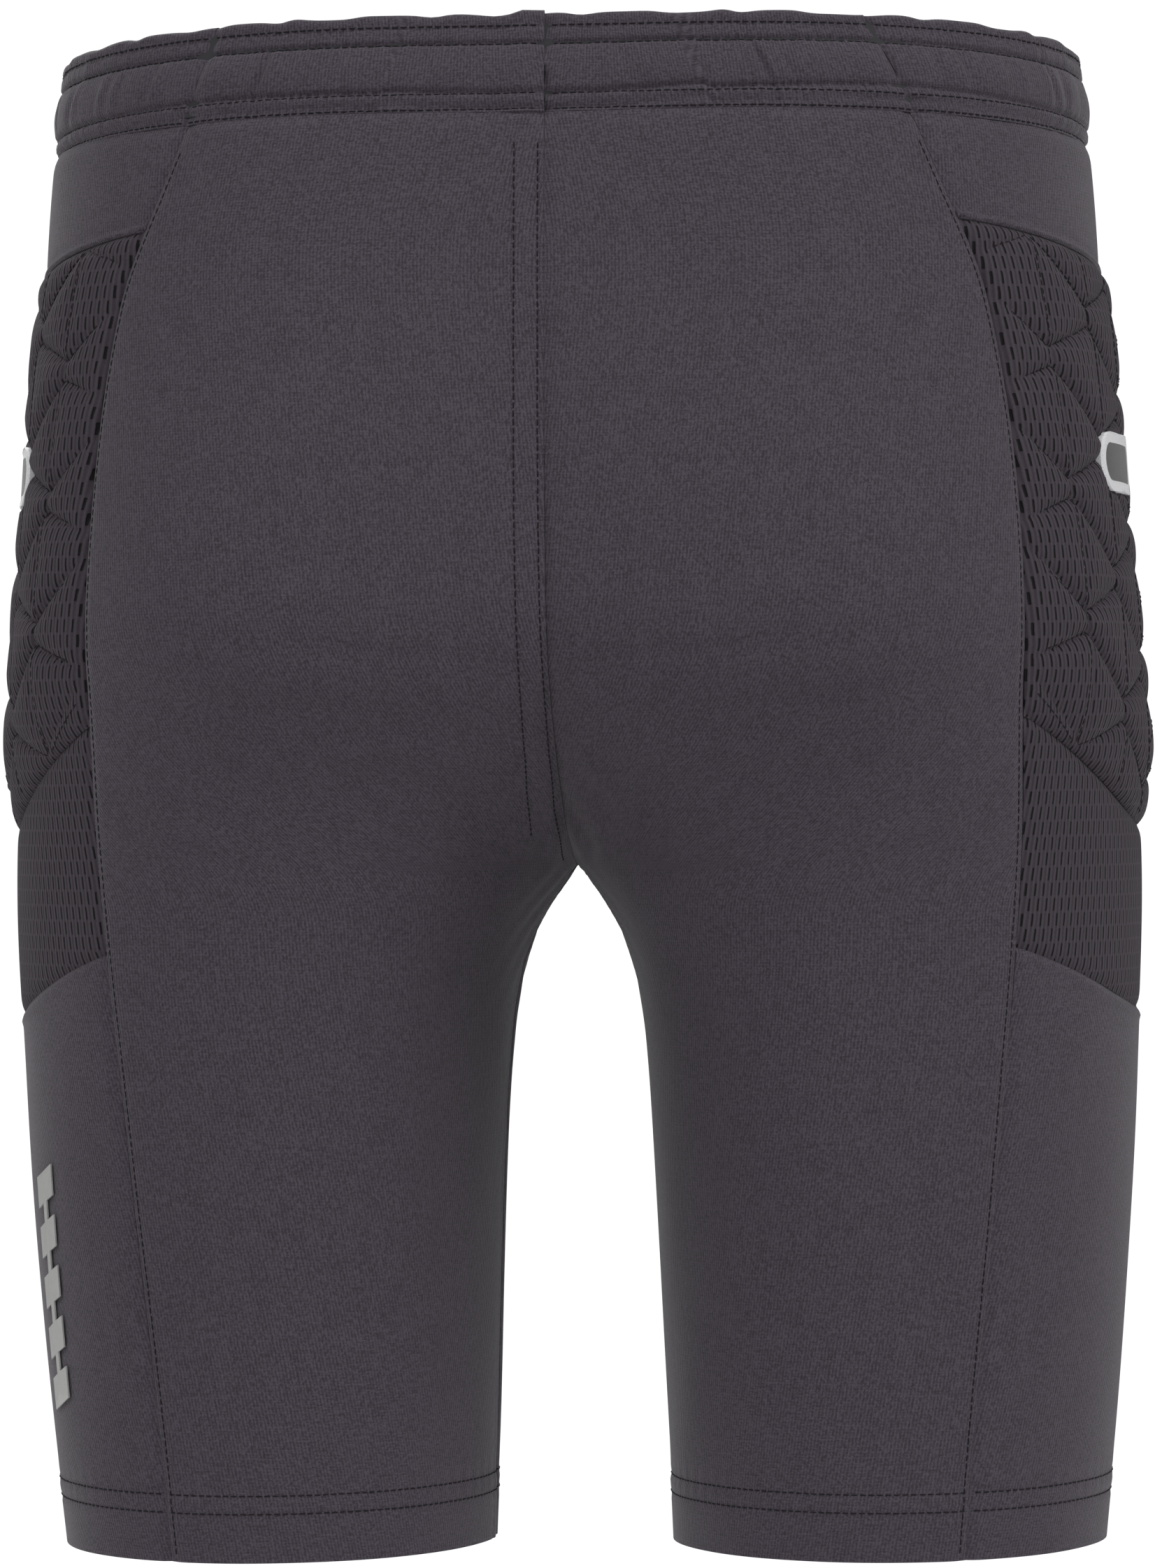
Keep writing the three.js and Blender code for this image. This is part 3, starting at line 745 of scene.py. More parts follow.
def embroidery_finish(name, colour):
    """Dense satin stitch with a soft sheen: a pale border round a dark field."""
    finish = Finish(name, colour, 0.42, Sheen_Weight=0.3, Sheen_Roughness=0.3)
    cloth, across, up, rim = finish.cloth()
    threads = finish.wave(finish.math("MULTIPLY_ADD", across, 0.35, up), 0.00045)
    fray = finish.noise(cloth, 1800, 2, 0.6)
    inside = finish.math("MULTIPLY_ADD", fray, 0.0003, rim)
    border = finish.math("GREATER_THAN", 0.0036, inside)
    shade = finish.math("MULTIPLY_ADD", threads, 0.7, fray)
    shade = finish.math("MULTIPLY_ADD", shade, 0.2, 0.8)
    shade = finish.math("MULTIPLY", shade, finish.math("MULTIPLY_ADD", border, 0.97, 0.03))
    finish.paint(finish.tint(shade, 0.0, 1.02))
    finish.bump(threads, 0.0002, 0.8)
    return finish.material


def film_finish(name, colour):
    """Reflective transfer film: a fine bead grain with worn flecks."""
    finish = Finish(name, colour, 0.34, Metallic=0.35)
    place = finish.place()
    beads = finish.noise(place, 2600, 1, 0.5)
    wear = finish.noise(place, 260, 3, 0.6)
    finish.paint(finish.tint(finish.math("MULTIPLY_ADD", wear, 0.5, beads), 0.82, 1.12))
    finish.bump(beads, 0.00005, 0.5)
    return finish.material


def woven_finish(name, colour):
    """Woven satin ribbon, for the label."""
    finish = Finish(name, colour, 0.5, Sheen_Weight=0.2)
    _, across, up, _ = finish.cloth()
    weave = finish.math("MULTIPLY", finish.wave(across, 0.0005), finish.wave(up, 0.0004))
    finish.paint(finish.tint(weave, 0.88, 1.08))
    finish.bump(weave, 0.00008, 0.6)
    return finish.material


def elastic_finish(name, colour):
    """Woven elastic: upright rubber cords under a knit."""
    finish = Finish(name, colour, 0.7)
    place = finish.place()
    split = finish.add("ShaderNodeSeparateXYZ")
    finish.link(place, split.inputs[0])
    ribs = finish.wave(split.outputs[2], 0.0016)
    grain = finish.noise(place, 900, 2, 0.6)
    finish.paint(finish.tint(finish.math("MULTIPLY_ADD", ribs, 0.5, grain), 0.7, 1.3))
    finish.bump(ribs, 0.0003, 0.8)
    return finish.material


FINISHES = {
    "jersey": (jersey_finish, "jersey"),
    "mesh": (mesh_finish, "mesh"),
    "lining": (tricot_finish, "lining"),
    "thread": (thread_finish, "thread"),
    "embroidery": (embroidery_finish, "badge"),
    "film": (film_finish, "film"),
    "label": (woven_finish, "label"),
    "elastic": (elastic_finish, "elastic"),
}


def finish(name):
    """The named finish, made the first time that it's asked for."""
    found = bpy.data.materials.get(name)
    if found is None:
        make, tone = FINISHES[name]
        found = make(name, tuple(getattr(settings().shorts_colours, tone)))
    return found


def dress(made, material, nodes=()):
    """Gives a piece its finish and hides the frame's nodes that it stands for."""
    made.data.materials.append(finish(material))
    if nodes:
        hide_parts(*nodes)
    return made


def bend_with_leg(made):
    """Bakes a piece's placement into its mesh."""
    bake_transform(made)


STRETCH = 1.12  # the cloth is cut smaller than the body that it covers


def declare_cloth(sheet):
    """Works out the size and area that a panel of stretched cloth was cut to; nothing uses them."""
    width, tall = sheet.size()
    flat = (width / STRETCH, tall)
    area = min(sheet.area() / STRETCH, flat[0] * flat[1])


# ---- Reliefs that panels share ------------------------------------------------------------------


def ripples(sheet, size, seed):
    """Slow, shallow unevenness in hanging cloth: a sum of slanted waves that never repeats in step."""
    x, h = sheet.grain + 0.37 * seed, sheet.height
    total = np.zeros(x.shape)
    for i, (wide, tall) in enumerate(((0.19, 0.31), (0.11, 0.17), (0.067, 0.13), (0.041, 0.09))):
        along = np.sin(TURN * (x / wide + 0.31 * i * seed))
        total += along * np.sin(TURN * (h / tall + 0.17 * i + seed)) / (i + 1)
    return size * total


def fold(sheet, x, height, reach, tall, lean=0.0):
    """A soft horizontal fold centred at a distance from the centre plane: a ridge over a hollow."""
    away = (np.abs(sheet.points[..., 0]) - x) / reach
    level = (sheet.height - height - lean * (np.abs(sheet.points[..., 0]) - x)) / tall
    return np.exp(-(away**2)) * level * np.exp(-(level**2)) * 1.6


def hem_relief(sheet, cloth):
    """The hem's raised turning and its two rows of stitches."""
    depth = settings().shorts_form.hem_depth
    turned = 1 - smoothstep(sheet.height, depth - 0.0008, depth + 0.0012)
    sheet.relief = sheet.relief + 0.00035 * turned
    for row in (depth, depth - cloth.needle_gap):
        sheet.groove(sheet.height - row, 0.0004, 0.0009)
    waves = np.sin(TURN * sheet.grain / 0.0068) * np.exp(-(((sheet.height - depth) / 0.006) ** 2))
    sheet.relief = sheet.relief + 0.00012 * waves


# ---- Operators ----------------------------------------------------------------------------------


def band_foot_line(form, span):
    """The waistband's foot over a span, at a share of the way round it."""
    first, last = span_of(form, span)(np.float64(OUTSEAM - form.band))
    return lambda u: form.waist_top(first + (last - first) * u) - form.band


BAND_LEAN = {"left": 0.007, "right": 0.013}  # how far the long seams lean in over the band's height


def band_angles(form, span, side, share):
    """The waistband's first and last angle over a span, at a share of its height."""
    first, last = span_of(form, span)(np.float64(OUTSEAM - form.band))
    shift = BAND_LEAN[side] * np.clip(share, 0, 1) / form.round_scale(form.back_seam(OUTSEAM), OUTSEAM)
    return first + shift * (span == "back"), last + shift * (span == "side")


def band_span(form, span, side):
    """The waistband's first and last angle at a height."""
    foot = form.waist_top(form.back_seam(OUTSEAM)) - form.band
    return lambda h: band_angles(form, span, side, (h - foot) / form.band)


PANEL_SURFACES = {}  # the panels' outer faces, for the stitches to lie on


class SHORTS_OT_body_panels(Operator):
    """Make the back and front panels, each from the waistband to the hem"""

    bl_idname = "shorts.body_panels"
    bl_label = "Body panels"

    def execute(self, context):
        form, cloth = Form(), context.scene.shorts_cloth
        for side in SIDES:
            for span in ("back", "front"):
                sheet = Sheet(
                    form,
                    span_of(form, span),
                    lambda u: np.zeros_like(u),
                    lambda u, s=span: band_foot_line(form, s)(u) - 2 * MEETING,
                    crowded(84, 0.17),
                    crowded(210, 0.44),
                )
                self.shape(sheet, form, cloth, span, side)
                made = sheet.mesh(f"{span}_panel_{side}_cloth", side, cloth.thickness)
                nodes = [f"{span}_{part}_{side}" for part in ("panel", "bend", "leg")]
                dress(made, "jersey", nodes)
                declare_cloth(sheet)
                bend_with_leg(made)
                PANEL_SURFACES[span, side] = sheet.surface(side)
        return {"FINISHED"}

    def shape(self, sheet, form, cloth, span, side):
        """The panel's folds, edges and stitched lines."""
        seed = 1 + 0.4 * SIDES[side] + (0.9 if span == "front" else 0)
        sheet.relief = ripples(sheet, 0.00035, seed)
        if span == "back":
            seat = form.inseam + 0.055
            for x, level, reach, tall, size in (
                (0.060, seat - 0.004, 0.070, 0.028, 0.0026),
                (0.055, seat + 0.016, 0.030, 0.0035, 0.0005),
                (0.070, seat - 0.002, 0.045, 0.009, 0.0016),
                (0.050, seat - 0.024, 0.045, 0.013, 0.0018),
            ):
                sheet.relief = sheet.relief + size * fold(sheet, x, level, reach, tall, 0.12)
        inner = sheet.along[:, -1:] - sheet.along if span == "back" else sheet.along
        crotch = np.exp(-(((sheet.height - form.inseam) / 0.03) ** 2) - (inner / 0.03) ** 2)
        sheet.relief = sheet.relief + 0.0006 * crotch * np.sin(TURN * (sheet.height + inner) / 0.016)
        sheet.dip_edges(cloth, foot=False)
        outer = sheet.along if span == "back" else sheet.along[:, -1:] - sheet.along
        sheet.groove(outer - 0.0022, 0.0002, 0.0008)
        if side == "left":
            above = smoothstep(sheet.height, form.inseam + 0.004, form.inseam + 0.02)
            turned = above * (1 - smoothstep(inner, 0.0085, 0.0100))
            sheet.relief = sheet.relief + 0.0005 * turned
            for gap in (0.0018, 0.0090):
                sheet.groove(inner - gap, 0.0003, 0.0008)
        hem_relief(sheet, cloth)


class SHORTS_OT_side_panels(Operator):
    """Make the side yokes, the plain mesh under the pads and the lower side panels"""

    bl_idname = "shorts.side_panels"
    bl_label = "Side panels"

    def execute(self, context):
        form, cloth = Form(), context.scene.shorts_cloth
        for side in SIDES:
            yoke = Sheet(
                form,
                span_of(form, "side"),
                lambda u: yoke_seam(u) + MEETING,
                lambda u: band_foot_line(form, "side")(u) - 2 * MEETING,
                crowded(80, 0.17),
                crowded(26, 0.04),
            )
            yoke.relief = ripples(yoke, 0.0003, 2.1 + 0.3 * SIDES[side])
            yoke.relief = yoke.relief + 0.0009 * np.exp(-(((yoke.risen - 0.0011) / 0.0008) ** 2))
            yoke.groove(yoke.risen - 0.0030, 0.0004, 0.0007)
            yoke.dip_edges(cloth, foot=False)
            made = yoke.mesh(f"side_yoke_{side}_cloth", side, cloth.thickness)
            dress(made, "jersey", [f"side_yoke_{side}"])
            declare_cloth(yoke)
            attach(made, SEAT)
            PANEL_SURFACES["yoke", side] = yoke.surface(side)

            tail = Sheet(
                form,
                span_of(form, "side"),
                lambda u: mesh_foot(form)(u) + MEETING,
                lambda u: pad_foot(form)(u) - MEETING,
                crowded(80, 0.18),
                crowded(40, 0.06),
            )
            tail.relief = ripples(tail, 0.0003, 1.3 + 0.3 * SIDES[side])
            tail.dip_edges(cloth)
            made = tail.mesh(f"mesh_tail_{side}_cloth", side, cloth.thickness)
            dress(made, "mesh", [f"mesh_tail_{side}"])
            declare_cloth(tail)
            bend_with_leg(made)
            PANEL_SURFACES["tail", side] = tail.surface(side)

            lower = Sheet(
                form,
                span_of(form, "side"),
                lambda u: np.zeros_like(u),
                lambda u: mesh_foot(form)(u) - MEETING,
                crowded(80, 0.16),
                crowded(90, 0.17),
            )
            lower.relief = ripples(lower, 0.0003, 3.1 + 0.3 * SIDES[side])
            lower.dip_edges(cloth, foot=False)
            from_top = lower.risen[-1:, :] - lower.risen
            lower.relief = lower.relief + 0.0007 * np.exp(-(((from_top - 0.0022) / 0.0014) ** 2))
            hem_relief(lower, cloth)
            made = lower.mesh(f"lower_side_{side}_cloth", side, cloth.thickness)
            dress(made, "jersey", [f"lower_side_{side}"])
            declare_cloth(lower)
            bend_with_leg(made)
            PANEL_SURFACES["lower", side] = lower.surface(side)
        return {"FINISHED"}


def quilt_lines(pad):
    """The quilting's lines over half a pad, as (start, end, depth) with places in distance from the
    side's centre line and height. A cell's long side falls steeply from one column to the next one
    towards the side, and its short side climbs a little."""
    columns = 4
    lines = []
    for column in range(columns):
        out = pad.column * (columns - 0.5 - column)
        inward = out - pad.column
        corner = pad.first_vertex - (column - 1) * (pad.drop + pad.pinch)
        for repeat in range(-3, 7):
            upper = corner + repeat * pad.period
            lower = upper - pad.pinch
            next_upper = lower - pad.drop
            next_lower = next_upper - pad.pinch + pad.period
            lines.append(((out, lower), (inward, next_upper), 1.0))
            lines.append(((out, upper), (inward, next_lower), 1.0))
            lines.append(((out, upper), (out, lower), 0.9))
            lines.append(((out, lower), (out, upper - pad.period), 0.32))
    return lines


def badge_place(side):
    """The height above the hem of a badge's middle, and its radius."""
    low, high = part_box(f"hip_badge_{side}")
    return (low.z + high.z) / 2 + OUTSEAM, (high.z - low.z) / 2


def segment_distance(x, y, start, end):
    """The distance from points to a straight line between two places."""
    (x0, y0), (x1, y1) = start, end
    dx, dy = x1 - x0, y1 - y0
    t = np.clip(((x - x0) * dx + (y - y0) * dy) / (dx * dx + dy * dy), 0, 1)
    return np.hypot(x - x0 - t * dx, y - y0 - t * dy)


class SHORTS_OT_hip_pads(Operator):
    """Make the quilted hip pads, their linings and their quilting stitches"""

    bl_idname = "shorts.hip_pads"
    bl_label = "Hip pads"

    def execute(self, context):
        form, cloth, pad = Form(), context.scene.shorts_cloth, context.scene.shorts_pad
        for side in SIDES:
            sheet = Sheet(
                form,
                span_of(form, "side"),
                lambda u: pad_foot(form)(u) + MEETING,
                lambda u: yoke_seam(u) - MEETING,
                crowded(190, 0.18),
                crowded(180, 0.17),
            )
            lining = sheet.outer() - sheet.normals * (cloth.thickness + 0.0004)
            self.puff(sheet, cloth, pad, side)
            made = sheet.mesh(f"hip_pad_{side}", side, 0, bottom=lining)
            nodes = [f"hip_pad_{part}_{side}" for part in ("cover", "foam")]
            dress(made, "mesh", nodes)
            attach(made, SEAT)
            PANEL_SURFACES["pad", side] = sheet.surface(side)
            self.line(form, cloth, side)
            self.stitch(form, cloth, pad, sheet, side)
        return {"FINISHED"}

    def puff(self, sheet, cloth, pad, side):
        """Swells the foam between its quilting lines and its sewn edge."""
        from_top = sheet.risen[-1:, :] - sheet.risen
        swell = np.full(sheet.u.shape, pad.rise)
        for distance, steep, rest in (
            (sheet.from_sides, 0.28, ease(sheet.from_sides, pad.side_slope)),
            (sheet.risen, 0.16, ease(sheet.risen, pad.foot_slope)),
            (from_top, 0.22, bulge(from_top, pad.top_edge)),
        ):
            swell *= steep * bulge(distance, pad.edge) + (1 - steep) * rest
        across = np.abs(sheet.grain)
        depth = np.zeros(across.shape)
        for start, end, share in quilt_lines(pad):
            away = segment_distance(across, sheet.height, start, end)
            depth = np.maximum(depth, share * (1 - bulge(away, pad.shoulder)))
        sheet.relief = swell - pad.groove * depth * swell / pad.rise
        level, radius = badge_place(side)
        trim = settings().shorts_trim
        across = np.abs(sheet.grain - trim.badge_shift) - (trim.badge_width / 2 - radius)
        outside = np.hypot(np.maximum(across, 0), sheet.height - level) - radius
        sheet.relief = np.minimum(sheet.relief, pad.rise - 0.0014 + 0.004 * smoothstep(outside, 0, 0.005))
        sheet.relief += ripples(sheet, 0.0002, 0.7)
        sheet.dip_edges(cloth)

    def line(self, form, cloth, side):
        """The lining on the pad's inner face."""
        sheet = Sheet(
            form,
            span_of(form, "side"),
            lambda u: pad_foot(form)(u) + 0.001,
            lambda u: yoke_seam(u) - 0.001,
            crowded(60, 0.18),
            crowded(60, 0.17),
        )
        sheet.relief = ripples(sheet, 0.0002, 0.3) - cloth.thickness - 0.0012
        made = sheet.mesh(f"hip_pad_{side}_lining", side, 0.0006)
        dress(made, "lining", [f"hip_pad_lining_{side}"])
        declare_cloth(sheet)
        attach(made, SEAT)

    def stitch(self, form, cloth, pad, sheet, side):
        """The quilting's stitches, along each line that lies on the pad."""
        rows = []
        surface = PANEL_SURFACES["pad", side]
        for front in (1, -1):
            for start, end, _ in quilt_lines(pad):
                count = max(int(math.dist(start, end) / 0.001), 2)
                across = np.linspace(start[0], end[0], count) * front
                heights = np.linspace(start[1], end[1], count)
                across, heights = self.within(sheet, across, heights)
                if len(across) < 4:
                    continue
                angles = self.angle_at(form, across, heights)
                rows.append(stitch_row(surface, angles, heights, form, side, cloth, 0.00005))
        made = thread_object(f"hip_pad_{side}_quilting", rows, cloth.thread)
        dress(made, "thread")
        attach(made, SEAT)

    def angle_at(self, form, across, heights):
        """The form's angle at a distance from the side's centre line."""
        grid = np.linspace(-1.2, 1.2, 121)
        angles = []
        for distance, height in zip(across, heights):
            points = form.point(grid, height)
            run = np.concatenate([[0], np.cumsum(np.linalg.norm(np.diff(points, axis=0), axis=1))])
            angles.append(np.interp(distance, run - run[60], grid))
        return np.array(angles)

    def within(self, sheet, across, heights):
        """The part of a line that lies on the pad, clear of its edges."""
        column = sheet.u.shape[1] // 2
        half = np.interp(heights, sheet.height[:, column], sheet.along[:, -1] / 2)
        shares = np.clip(0.5 + across / (2 * half), 0, 1)
        foot = pad_foot(sheet.form)(shares) + 0.002
        top = yoke_seam(shares) - 0.002
        low = (np.abs(across) < half - 0.002) & (np.abs(across) > 0.0002)
        keep = low & (heights > foot) & (heights < top)
        return across[keep], heights[keep]


class SHORTS_OT_waistband(Operator):
    """Make the gathered waistband in six segments, with its four rows of stitches"""

    bl_idname = "shorts.waistband"
    bl_label = "Waistband"

    ROWS = (0.0035, 0.0091, 0.0246, 0.0292)

    def execute(self, context):
        form, cloth = Form(), context.scene.shorts_cloth
        for side in SIDES:
            for span in ("back", "side", "front"):
                foot = band_foot_line(form, span)
                sheet = Sheet(
                    form,
                    band_span(form, span, side),
                    foot,
                    lambda u, f=foot: f(u) + form.band,
                    crowded(120, 0.12),
                    crowded(44, 0.03),
                )
                self.gather(sheet, cloth, span, side)
                PANEL_SURFACES["band_" + span, side] = sheet.surface(side)
                width, tall = sheet.size()
                made = self.fold_over(sheet, cloth, f"waistband_{span}_{side}_casing", side)
                dress(made, "jersey", [f"waistband_{span}_{side}"])
                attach(made, SEAT)
        self.stitch(form, cloth)
        return {"FINISHED"}

    def gather(self, sheet, cloth, span, side):
        """Puckers between the rows of stitches, and a groove under each row."""
        down = sheet.risen[-1:, :] - sheet.risen
        x = sheet.grain + {"back": 0.01, "side": 0.043, "front": 0.027}[span] * SIDES[side]
        upper, lower = self.ROWS[1], self.ROWS[2]
        tunnel = np.sin(np.pi * np.clip((down - upper) / (lower - upper), 0, 1))
        wander = 0.004 * np.sin(TURN * x / 0.057) + 0.0022 * np.sin(TURN * (x / 0.0231 + down / 0.06))
        gathers = np.sin(TURN * (x + wander) / 0.0122) + 0.6 * np.sin(TURN * (x + wander) / 0.0071 + 1)
        fine = np.sin(TURN * (x + 0.5 * wander) / 0.0034)
        patch = 0.55 + 0.45 * np.sin(TURN * (x / 0.083 + 0.2)) * np.sin(TURN * (x / 0.031 + 0.4))
        sheet.relief = 0.0012 * tunnel + 0.00062 * patch * gathers * (0.3 + 0.7 * tunnel)
        for row in self.ROWS:
            sheet.groove(down - row, 0.0011, 0.0009)
            sheet.relief = sheet.relief + 0.00022 * fine * np.exp(-(((down - row) / 0.0024) ** 2))
        head = np.sin(np.pi * np.clip(down / self.ROWS[0], 0, 1))
        sheet.relief = sheet.relief + 0.0004 * head
        sheet.points[..., 2] += 0.0004 * np.sin(TURN * (x + wander) / 0.0244) * smoothstep(sheet.v, 0.7, 1)
        sheet.dip_edges(cloth, top=False)
        if span == "back" and side == "left":
            turned = 1 - smoothstep(sheet.along[:, -1:] - sheet.along, 0.0080, 0.0095)
            sheet.relief = sheet.relief + 0.0009 * turned
            sheet.points[..., 2] += 0.0010 * turned * smoothstep(sheet.v, 0.8, 1)

    def fold_over(self, sheet, cloth, name, side):
        """One sheet that runs up the outside, folds over at the top and runs down behind the elastic."""
        depth = 0.0046
        outer = sheet.outer()
        flat = sheet.points - sheet.normals * depth
        radius = depth / 2 + sheet.relief[-1:, :, None] / 2
        middle = (outer[-1:] + flat[-1:]) / 2 - np.array([0, 0, 1]) * radius
        away = (outer[-1:] - flat[-1:]) / 2
        turns = np.linspace(0, math.pi, 9)[1:-1]
        arc = [middle + away * math.cos(t) + np.array([0, 0, 1]) * radius * math.sin(t) for t in turns]
        keep = outer[:, 0, 2] < outer[-1, 0, 2] - radius[0, 0, 0]
        up = outer[keep]
        down = flat[keep][::-1]
        rows = np.concatenate([up, *arc, down])
        sheet.points, sheet.relief = rows, np.zeros(rows.shape[:2])
        sheet.normals = sheet.facing()
        sheet.u = np.repeat(sheet.u[:1], len(rows), axis=0)
        sheet.grain = np.repeat(sheet.grain[:1], len(rows), axis=0)
        sheet.rim = np.zeros(rows.shape[:2])
        sheet.height = sheet.run(axis=0) + sheet.height[0, 0]
        return sheet.mesh(name, side, cloth.thickness)

    def stitch(self, form, cloth):
        """The four rows, segment by segment."""
        for side in SIDES:
            rows = []
            for span in ("back", "side", "front"):
                surface = PANEL_SURFACES["band_" + span, side]
                for row in self.ROWS:
                    first, last = band_angles(form, span, side, 1 - row / form.band)
                    angles = np.linspace(float(first), float(last), 160)[1:-1]
                    heights = form.waist_top(angles) - row
                    rows.append(stitch_row(surface, angles, heights, form, side, cloth))
            made = thread_object(f"waistband_{side}_stitching", rows, cloth.thread)
            dress(made, "thread")
            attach(made, SEAT)


class SHORTS_OT_hems(Operator):
    """Make the turned-up hems inside the legs, and their stitches"""

    bl_idname = "shorts.hems"
    bl_label = "Hems"

    def execute(self, context):
        form, cloth = Form(), context.scene.shorts_cloth
        depth = context.scene.shorts_form.hem_depth
        for side in SIDES:
            angles = np.linspace(-math.pi, math.pi, 181)[:-1]
            made = self.facing(form, cloth, depth, angles, side)
            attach(made, LEG[side])
            rows = []
            for row in (depth, depth - cloth.needle_gap):
                for panel, span in (("back", "back"), ("lower", "side"), ("front", "front")):
                    first, last = span_of(form, span)(np.float64(row))
                    turn = np.linspace(float(first), float(last), 120)[1:-1]
                    heights = np.full(turn.shape, row)
                    surface = PANEL_SURFACES[panel, side]
                    rows.append(stitch_row(surface, turn, heights, form, side, cloth))
            made = thread_object(f"hem_{side}_stitching", rows, cloth.thread)
            dress(made, "thread")
            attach(made, LEG[side])
        return {"FINISHED"}

    def facing(self, form, cloth, depth, angles, side):
        """A closed ring just inside the leg."""
        out = cloth.thickness + 0.0001
        section = ((out, 0.0004), (out, depth), (out + 0.0009, depth), (out + 0.0009, 0.0004))
        rings = []
        for inward, height in section:
            points = form.point(angles, height) - form.normal(angles, height) * inward
            rings.append(points)
        rings = np.stack(rings)
        count = len(angles)
        index = np.arange(4 * count).reshape(4, count)
        after, around = np.roll(index, -1, axis=0), np.roll(index, -1, axis=1)
        both = np.roll(after, -1, axis=1)
        faces = np.stack([index, after, both, around], -1).reshape(-1, 4)
        run = np.linspace(0, 0.44, count)
        coordinates = np.stack([np.tile(run, 4), rings[..., 2].ravel(), np.zeros(4 * count)], -1)
        made = mesh_object(f"hem_{side}_facing", rings.reshape(-1, 3), faces, side, coordinates)
        dress(made, "jersey", [f"hem_facing_{side}"])
        return made


class SHORTS_OT_seam_stitches(Operator):
    """Make the topstitching along the seams"""

    bl_idname = "shorts.seam_stitches"
    bl_label = "Seam stitches"

    def execute(self, context):
        form, cloth = Form(), context.scene.shorts_cloth
        inset = 0.0022
        for side in SIDES:
            rows = []
            heights = np.linspace(0.002, OUTSEAM - form.band - 0.004, 400)
            for span, seam, way in (
                ("back", form.back_seam, 1),
                ("front", form.front_seam, -1),
            ):
                angle = seam(heights) + way * inset / form.round_scale(seam(heights), heights)
                rows.append(self.row(span, side, angle, heights, form, cloth))
                for gap in (0.0018, 0.009) if side == "left" else ():
                    level = heights[heights > form.inseam + gap]
                    centre = form.centre_angle(level, span == "back", gap)
                    rows.append(self.row(span, side, centre, level, form, cloth))
            made = thread_object(f"long_seams_{side}_stitching", rows, cloth.thread)
            dress(made, "thread")
            bend_with_leg(made)
        return {"FINISHED"}

    def row(self, panel, side, angles, heights, form, cloth):
        """A row of stitches on a panel."""
        return stitch_row(PANEL_SURFACES[panel, side], angles, heights, form, side, cloth)


class SHORTS_OT_trim(Operator):
    """Make the hip badges, and give the reflective print, the centre seam facing, the blank label and the
    elastic their finishes
    """

    bl_idname = "shorts.trim"
    bl_label = "Trim"

    def execute(self, context):
        form = Form()
        for side in SIDES:
            self.badge(form, side)
        self.finish_node("reflective_print", "film")
        self.finish_node("centre_seam_facing", "jersey")
        self.finish_node("size_label", "label")
        self.finish_node("waist_elastic", "elastic")
        return {"FINISHED"}

    def badge(self, form, side):
        """An embroidered stadium patch on the pad, a little behind the side."""
        trim = bpy.context.scene.shorts_trim
        level, radius = badge_place(side)
        centre = trim.badge_shift / form.round_scale(0.0, level)
        scale = form.round_scale(centre, level)

        def span(height):
            round_end = np.sqrt(np.maximum(radius**2 - (height - level) ** 2, 0))
            half = (trim.badge_width / 2 - radius + round_end) / scale
            return centre - half, centre + half

        sheet = Sheet(
            form,
            span,
            lambda u: np.full_like(u, level - radius),
            lambda u: np.full_like(u, level + radius),
            np.linspace(0, 1, 60),
            (1 - np.cos(np.linspace(0, math.pi, 40))) / 2,
        )
        proud = settings().shorts_pad.rise - 0.0012
        edge = np.minimum(sheet.from_sides, sheet.from_ends)
        border = np.exp(-(((edge - 0.0011) / 0.0008) ** 2))
        sheet.relief = proud + 0.0007 * bulge(edge, 0.0008) + 0.0003 * border
        under = sheet.points + sheet.normals * (proud - 0.0040)
        beyond = np.maximum(np.abs(sheet.angle - centre) * scale - (trim.badge_width / 2 - radius), 0)
        sheet.rim = radius - np.hypot(beyond, sheet.height - level)
        made = sheet.mesh(f"hip_badge_{side}_patch", side, 0, bottom=under)
        dress(made, "embroidery", [f"hip_badge_{side}"])
        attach(made, SEAT)

    def finish_node(self, node, material):
        """Gives one of the frame's own pieces a finish."""
        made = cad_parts[node]
        made.data.materials.clear()
        made.data.materials.append(finish(material))


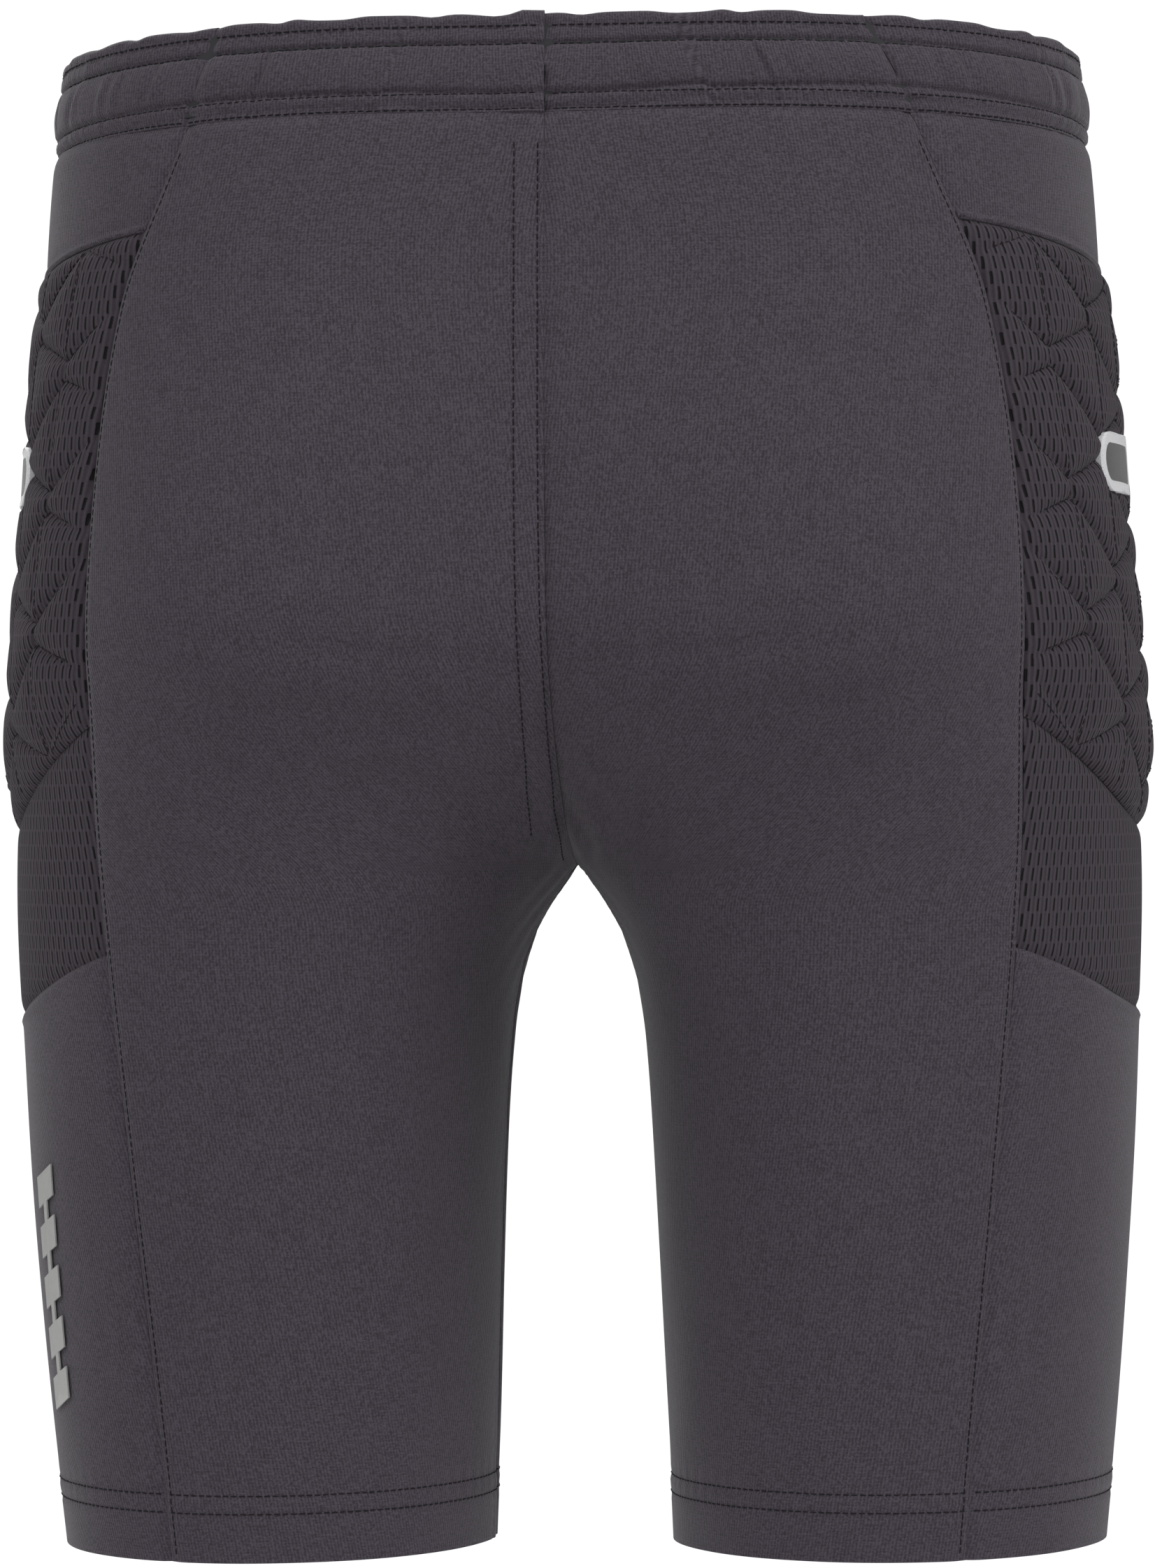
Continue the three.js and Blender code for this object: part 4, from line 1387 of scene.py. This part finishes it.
class SHORTS_OT_stage(Operator):
    """Make the floor, the soft light and the camera"""

    bl_idname = "shorts.stage"
    bl_label = "Stage"

    def execute(self, context):
        stage = context.scene.shorts_stage
        self.floor(stage)
        self.world(context)
        self.lights(stage)
        self.camera(context, stage)
        return {"FINISHED"}

    def floor(self, stage):
        """The pale floor."""
        reach, level = 3.0, -OUTSEAM - stage.floor_drop
        ways = ((-1, -1), (1, -1), (1, 1), (-1, 1))
        corners = [(reach * x, reach * y, level) for x, y in ways]
        floor = mesh_object("floor", corners, [(0, 1, 2, 3)])
        pale = Finish("floor", tuple(settings().shorts_colours.floor), 0.9)
        floor.data.materials.append(pale.material)

    def world(self, context):
        """A white backdrop, and dimmer light that is brighter from above than from below."""
        world = bpy.data.worlds.new("studio")
        world.use_nodes = True
        nodes, links = world.node_tree.nodes, world.node_tree.links
        backdrop = nodes["Background"]
        backdrop.inputs["Strength"].default_value = 1.05
        ambient = nodes.new("ShaderNodeBackground")
        place, split = nodes.new("ShaderNodeTexCoord"), nodes.new("ShaderNodeSeparateXYZ")
        slope = nodes.new("ShaderNodeMapRange")
        slope.inputs["From Min"].default_value = -1.0
        slope.inputs["To Min"].default_value = 0.45 * context.scene.shorts_stage.ambient
        slope.inputs["To Max"].default_value = 1.35 * context.scene.shorts_stage.ambient
        links.new(place.outputs["Generated"], split.inputs[0])
        links.new(split.outputs["Z"], slope.inputs["Value"])
        links.new(slope.outputs["Result"], ambient.inputs["Strength"])
        sight, mix = nodes.new("ShaderNodeLightPath"), nodes.new("ShaderNodeMixShader")
        for source in (backdrop, ambient):
            source.inputs["Color"].default_value = (1, 1, 1, 1)
        links.new(sight.outputs["Is Camera Ray"], mix.inputs[0])
        links.new(ambient.outputs[0], mix.inputs[1])
        links.new(backdrop.outputs[0], mix.inputs[2])
        links.new(mix.outputs[0], nodes["World Output"].inputs["Surface"])
        context.scene.world = world
        context.scene.view_settings.view_transform = "Standard"

    def lights(self, stage):
        """Four large soft lamps that face the shorts."""
        middle = Vector((0, 0, -OUTSEAM / 2))
        for name, place, size, share in (
            ("key", (-1.9, 1.2, 1.8), 1.2, 1.15),
            ("side", (1.9, 1.0, 2.0), 1.4, 0.65),
            ("back", (0.3, 2.4, 1.4), 1.6, 0.4),
            ("front", (0.9, -2.1, 1.3), 1.6, 0.8),
        ):
            lamp = bpy.data.lights.new(name, "AREA")
            lamp.shape, lamp.size, lamp.energy = "DISK", size, stage.key * share
            made = bpy.data.objects.new(name, lamp)
            made.location = Vector(place)
            made.rotation_euler = (middle - made.location).to_track_quat("-Z", "Y").to_euler()
            bpy.context.scene.collection.objects.link(made)

    def camera(self, context, stage):
        """The camera, level with the middle of the shorts and turned to their back."""
        data = bpy.data.cameras.new("camera")
        data.sensor_width = 36
        data.lens = data.sensor_width * stage.distance / stage.view_height
        made = bpy.data.objects.new("camera", data)
        turn = math.radians(stage.azimuth)
        away = Vector((math.sin(turn), -math.cos(turn), 0))
        middle = Vector((0, 0, stage.height - OUTSEAM))
        made.location = middle + away * stage.distance
        aim = (-away).to_track_quat("-Z", "Y")
        made.rotation_mode = "QUATERNION"
        made.rotation_quaternion = aim @ Quaternion((0, 0, 1), -math.radians(stage.roll))
        context.scene.collection.objects.link(made)
        context.scene.camera = made


class SHORTS_PT_panel(Panel):
    """The shorts' pieces and sizes"""

    bl_idname = "SHORTS_PT_panel"
    bl_label = "Padded Shorts"
    bl_space_type = "VIEW_3D"
    bl_region_type = "UI"
    bl_category = "Shorts"

    def draw(self, context):
        for operator in OPERATORS:
            self.layout.operator(operator.bl_idname)
        for name in GROUPS:
            group = getattr(context.scene, name)
            box = self.layout.box()
            for key in group.bl_rna.properties.keys():
                if key not in ("rna_type", "name"):
                    box.prop(group, key)


GROUPS = {
    "shorts_form": ShortsForm,
    "shorts_cloth": ShortsCloth,
    "shorts_pad": ShortsPad,
    "shorts_trim": ShortsTrim,
    "shorts_colours": ShortsColours,
    "shorts_stage": ShortsStage,
}
OPERATORS = (
    SHORTS_OT_body_panels,
    SHORTS_OT_side_panels,
    SHORTS_OT_hip_pads,
    SHORTS_OT_waistband,
    SHORTS_OT_hems,
    SHORTS_OT_seam_stitches,
    SHORTS_OT_trim,
    SHORTS_OT_stage,
)


def register():
    for group in GROUPS.values():
        bpy.utils.register_class(group)
    for operator in (*OPERATORS, SHORTS_PT_panel):
        bpy.utils.register_class(operator)
    for name, group in GROUPS.items():
        setattr(bpy.types.Scene, name, PointerProperty(type=group))


def unregister():
    for name in GROUPS:
        delattr(bpy.types.Scene, name)
    for made in (SHORTS_PT_panel, *reversed(OPERATORS), *reversed(GROUPS.values())):
        bpy.utils.unregister_class(made)


def main():
    """Makes every piece in order."""
    register()
    for operator in OPERATORS:
        call = getattr(bpy.ops.shorts, operator.bl_idname.split(".")[1])
        call()


if __name__ == "__main__":
    main()
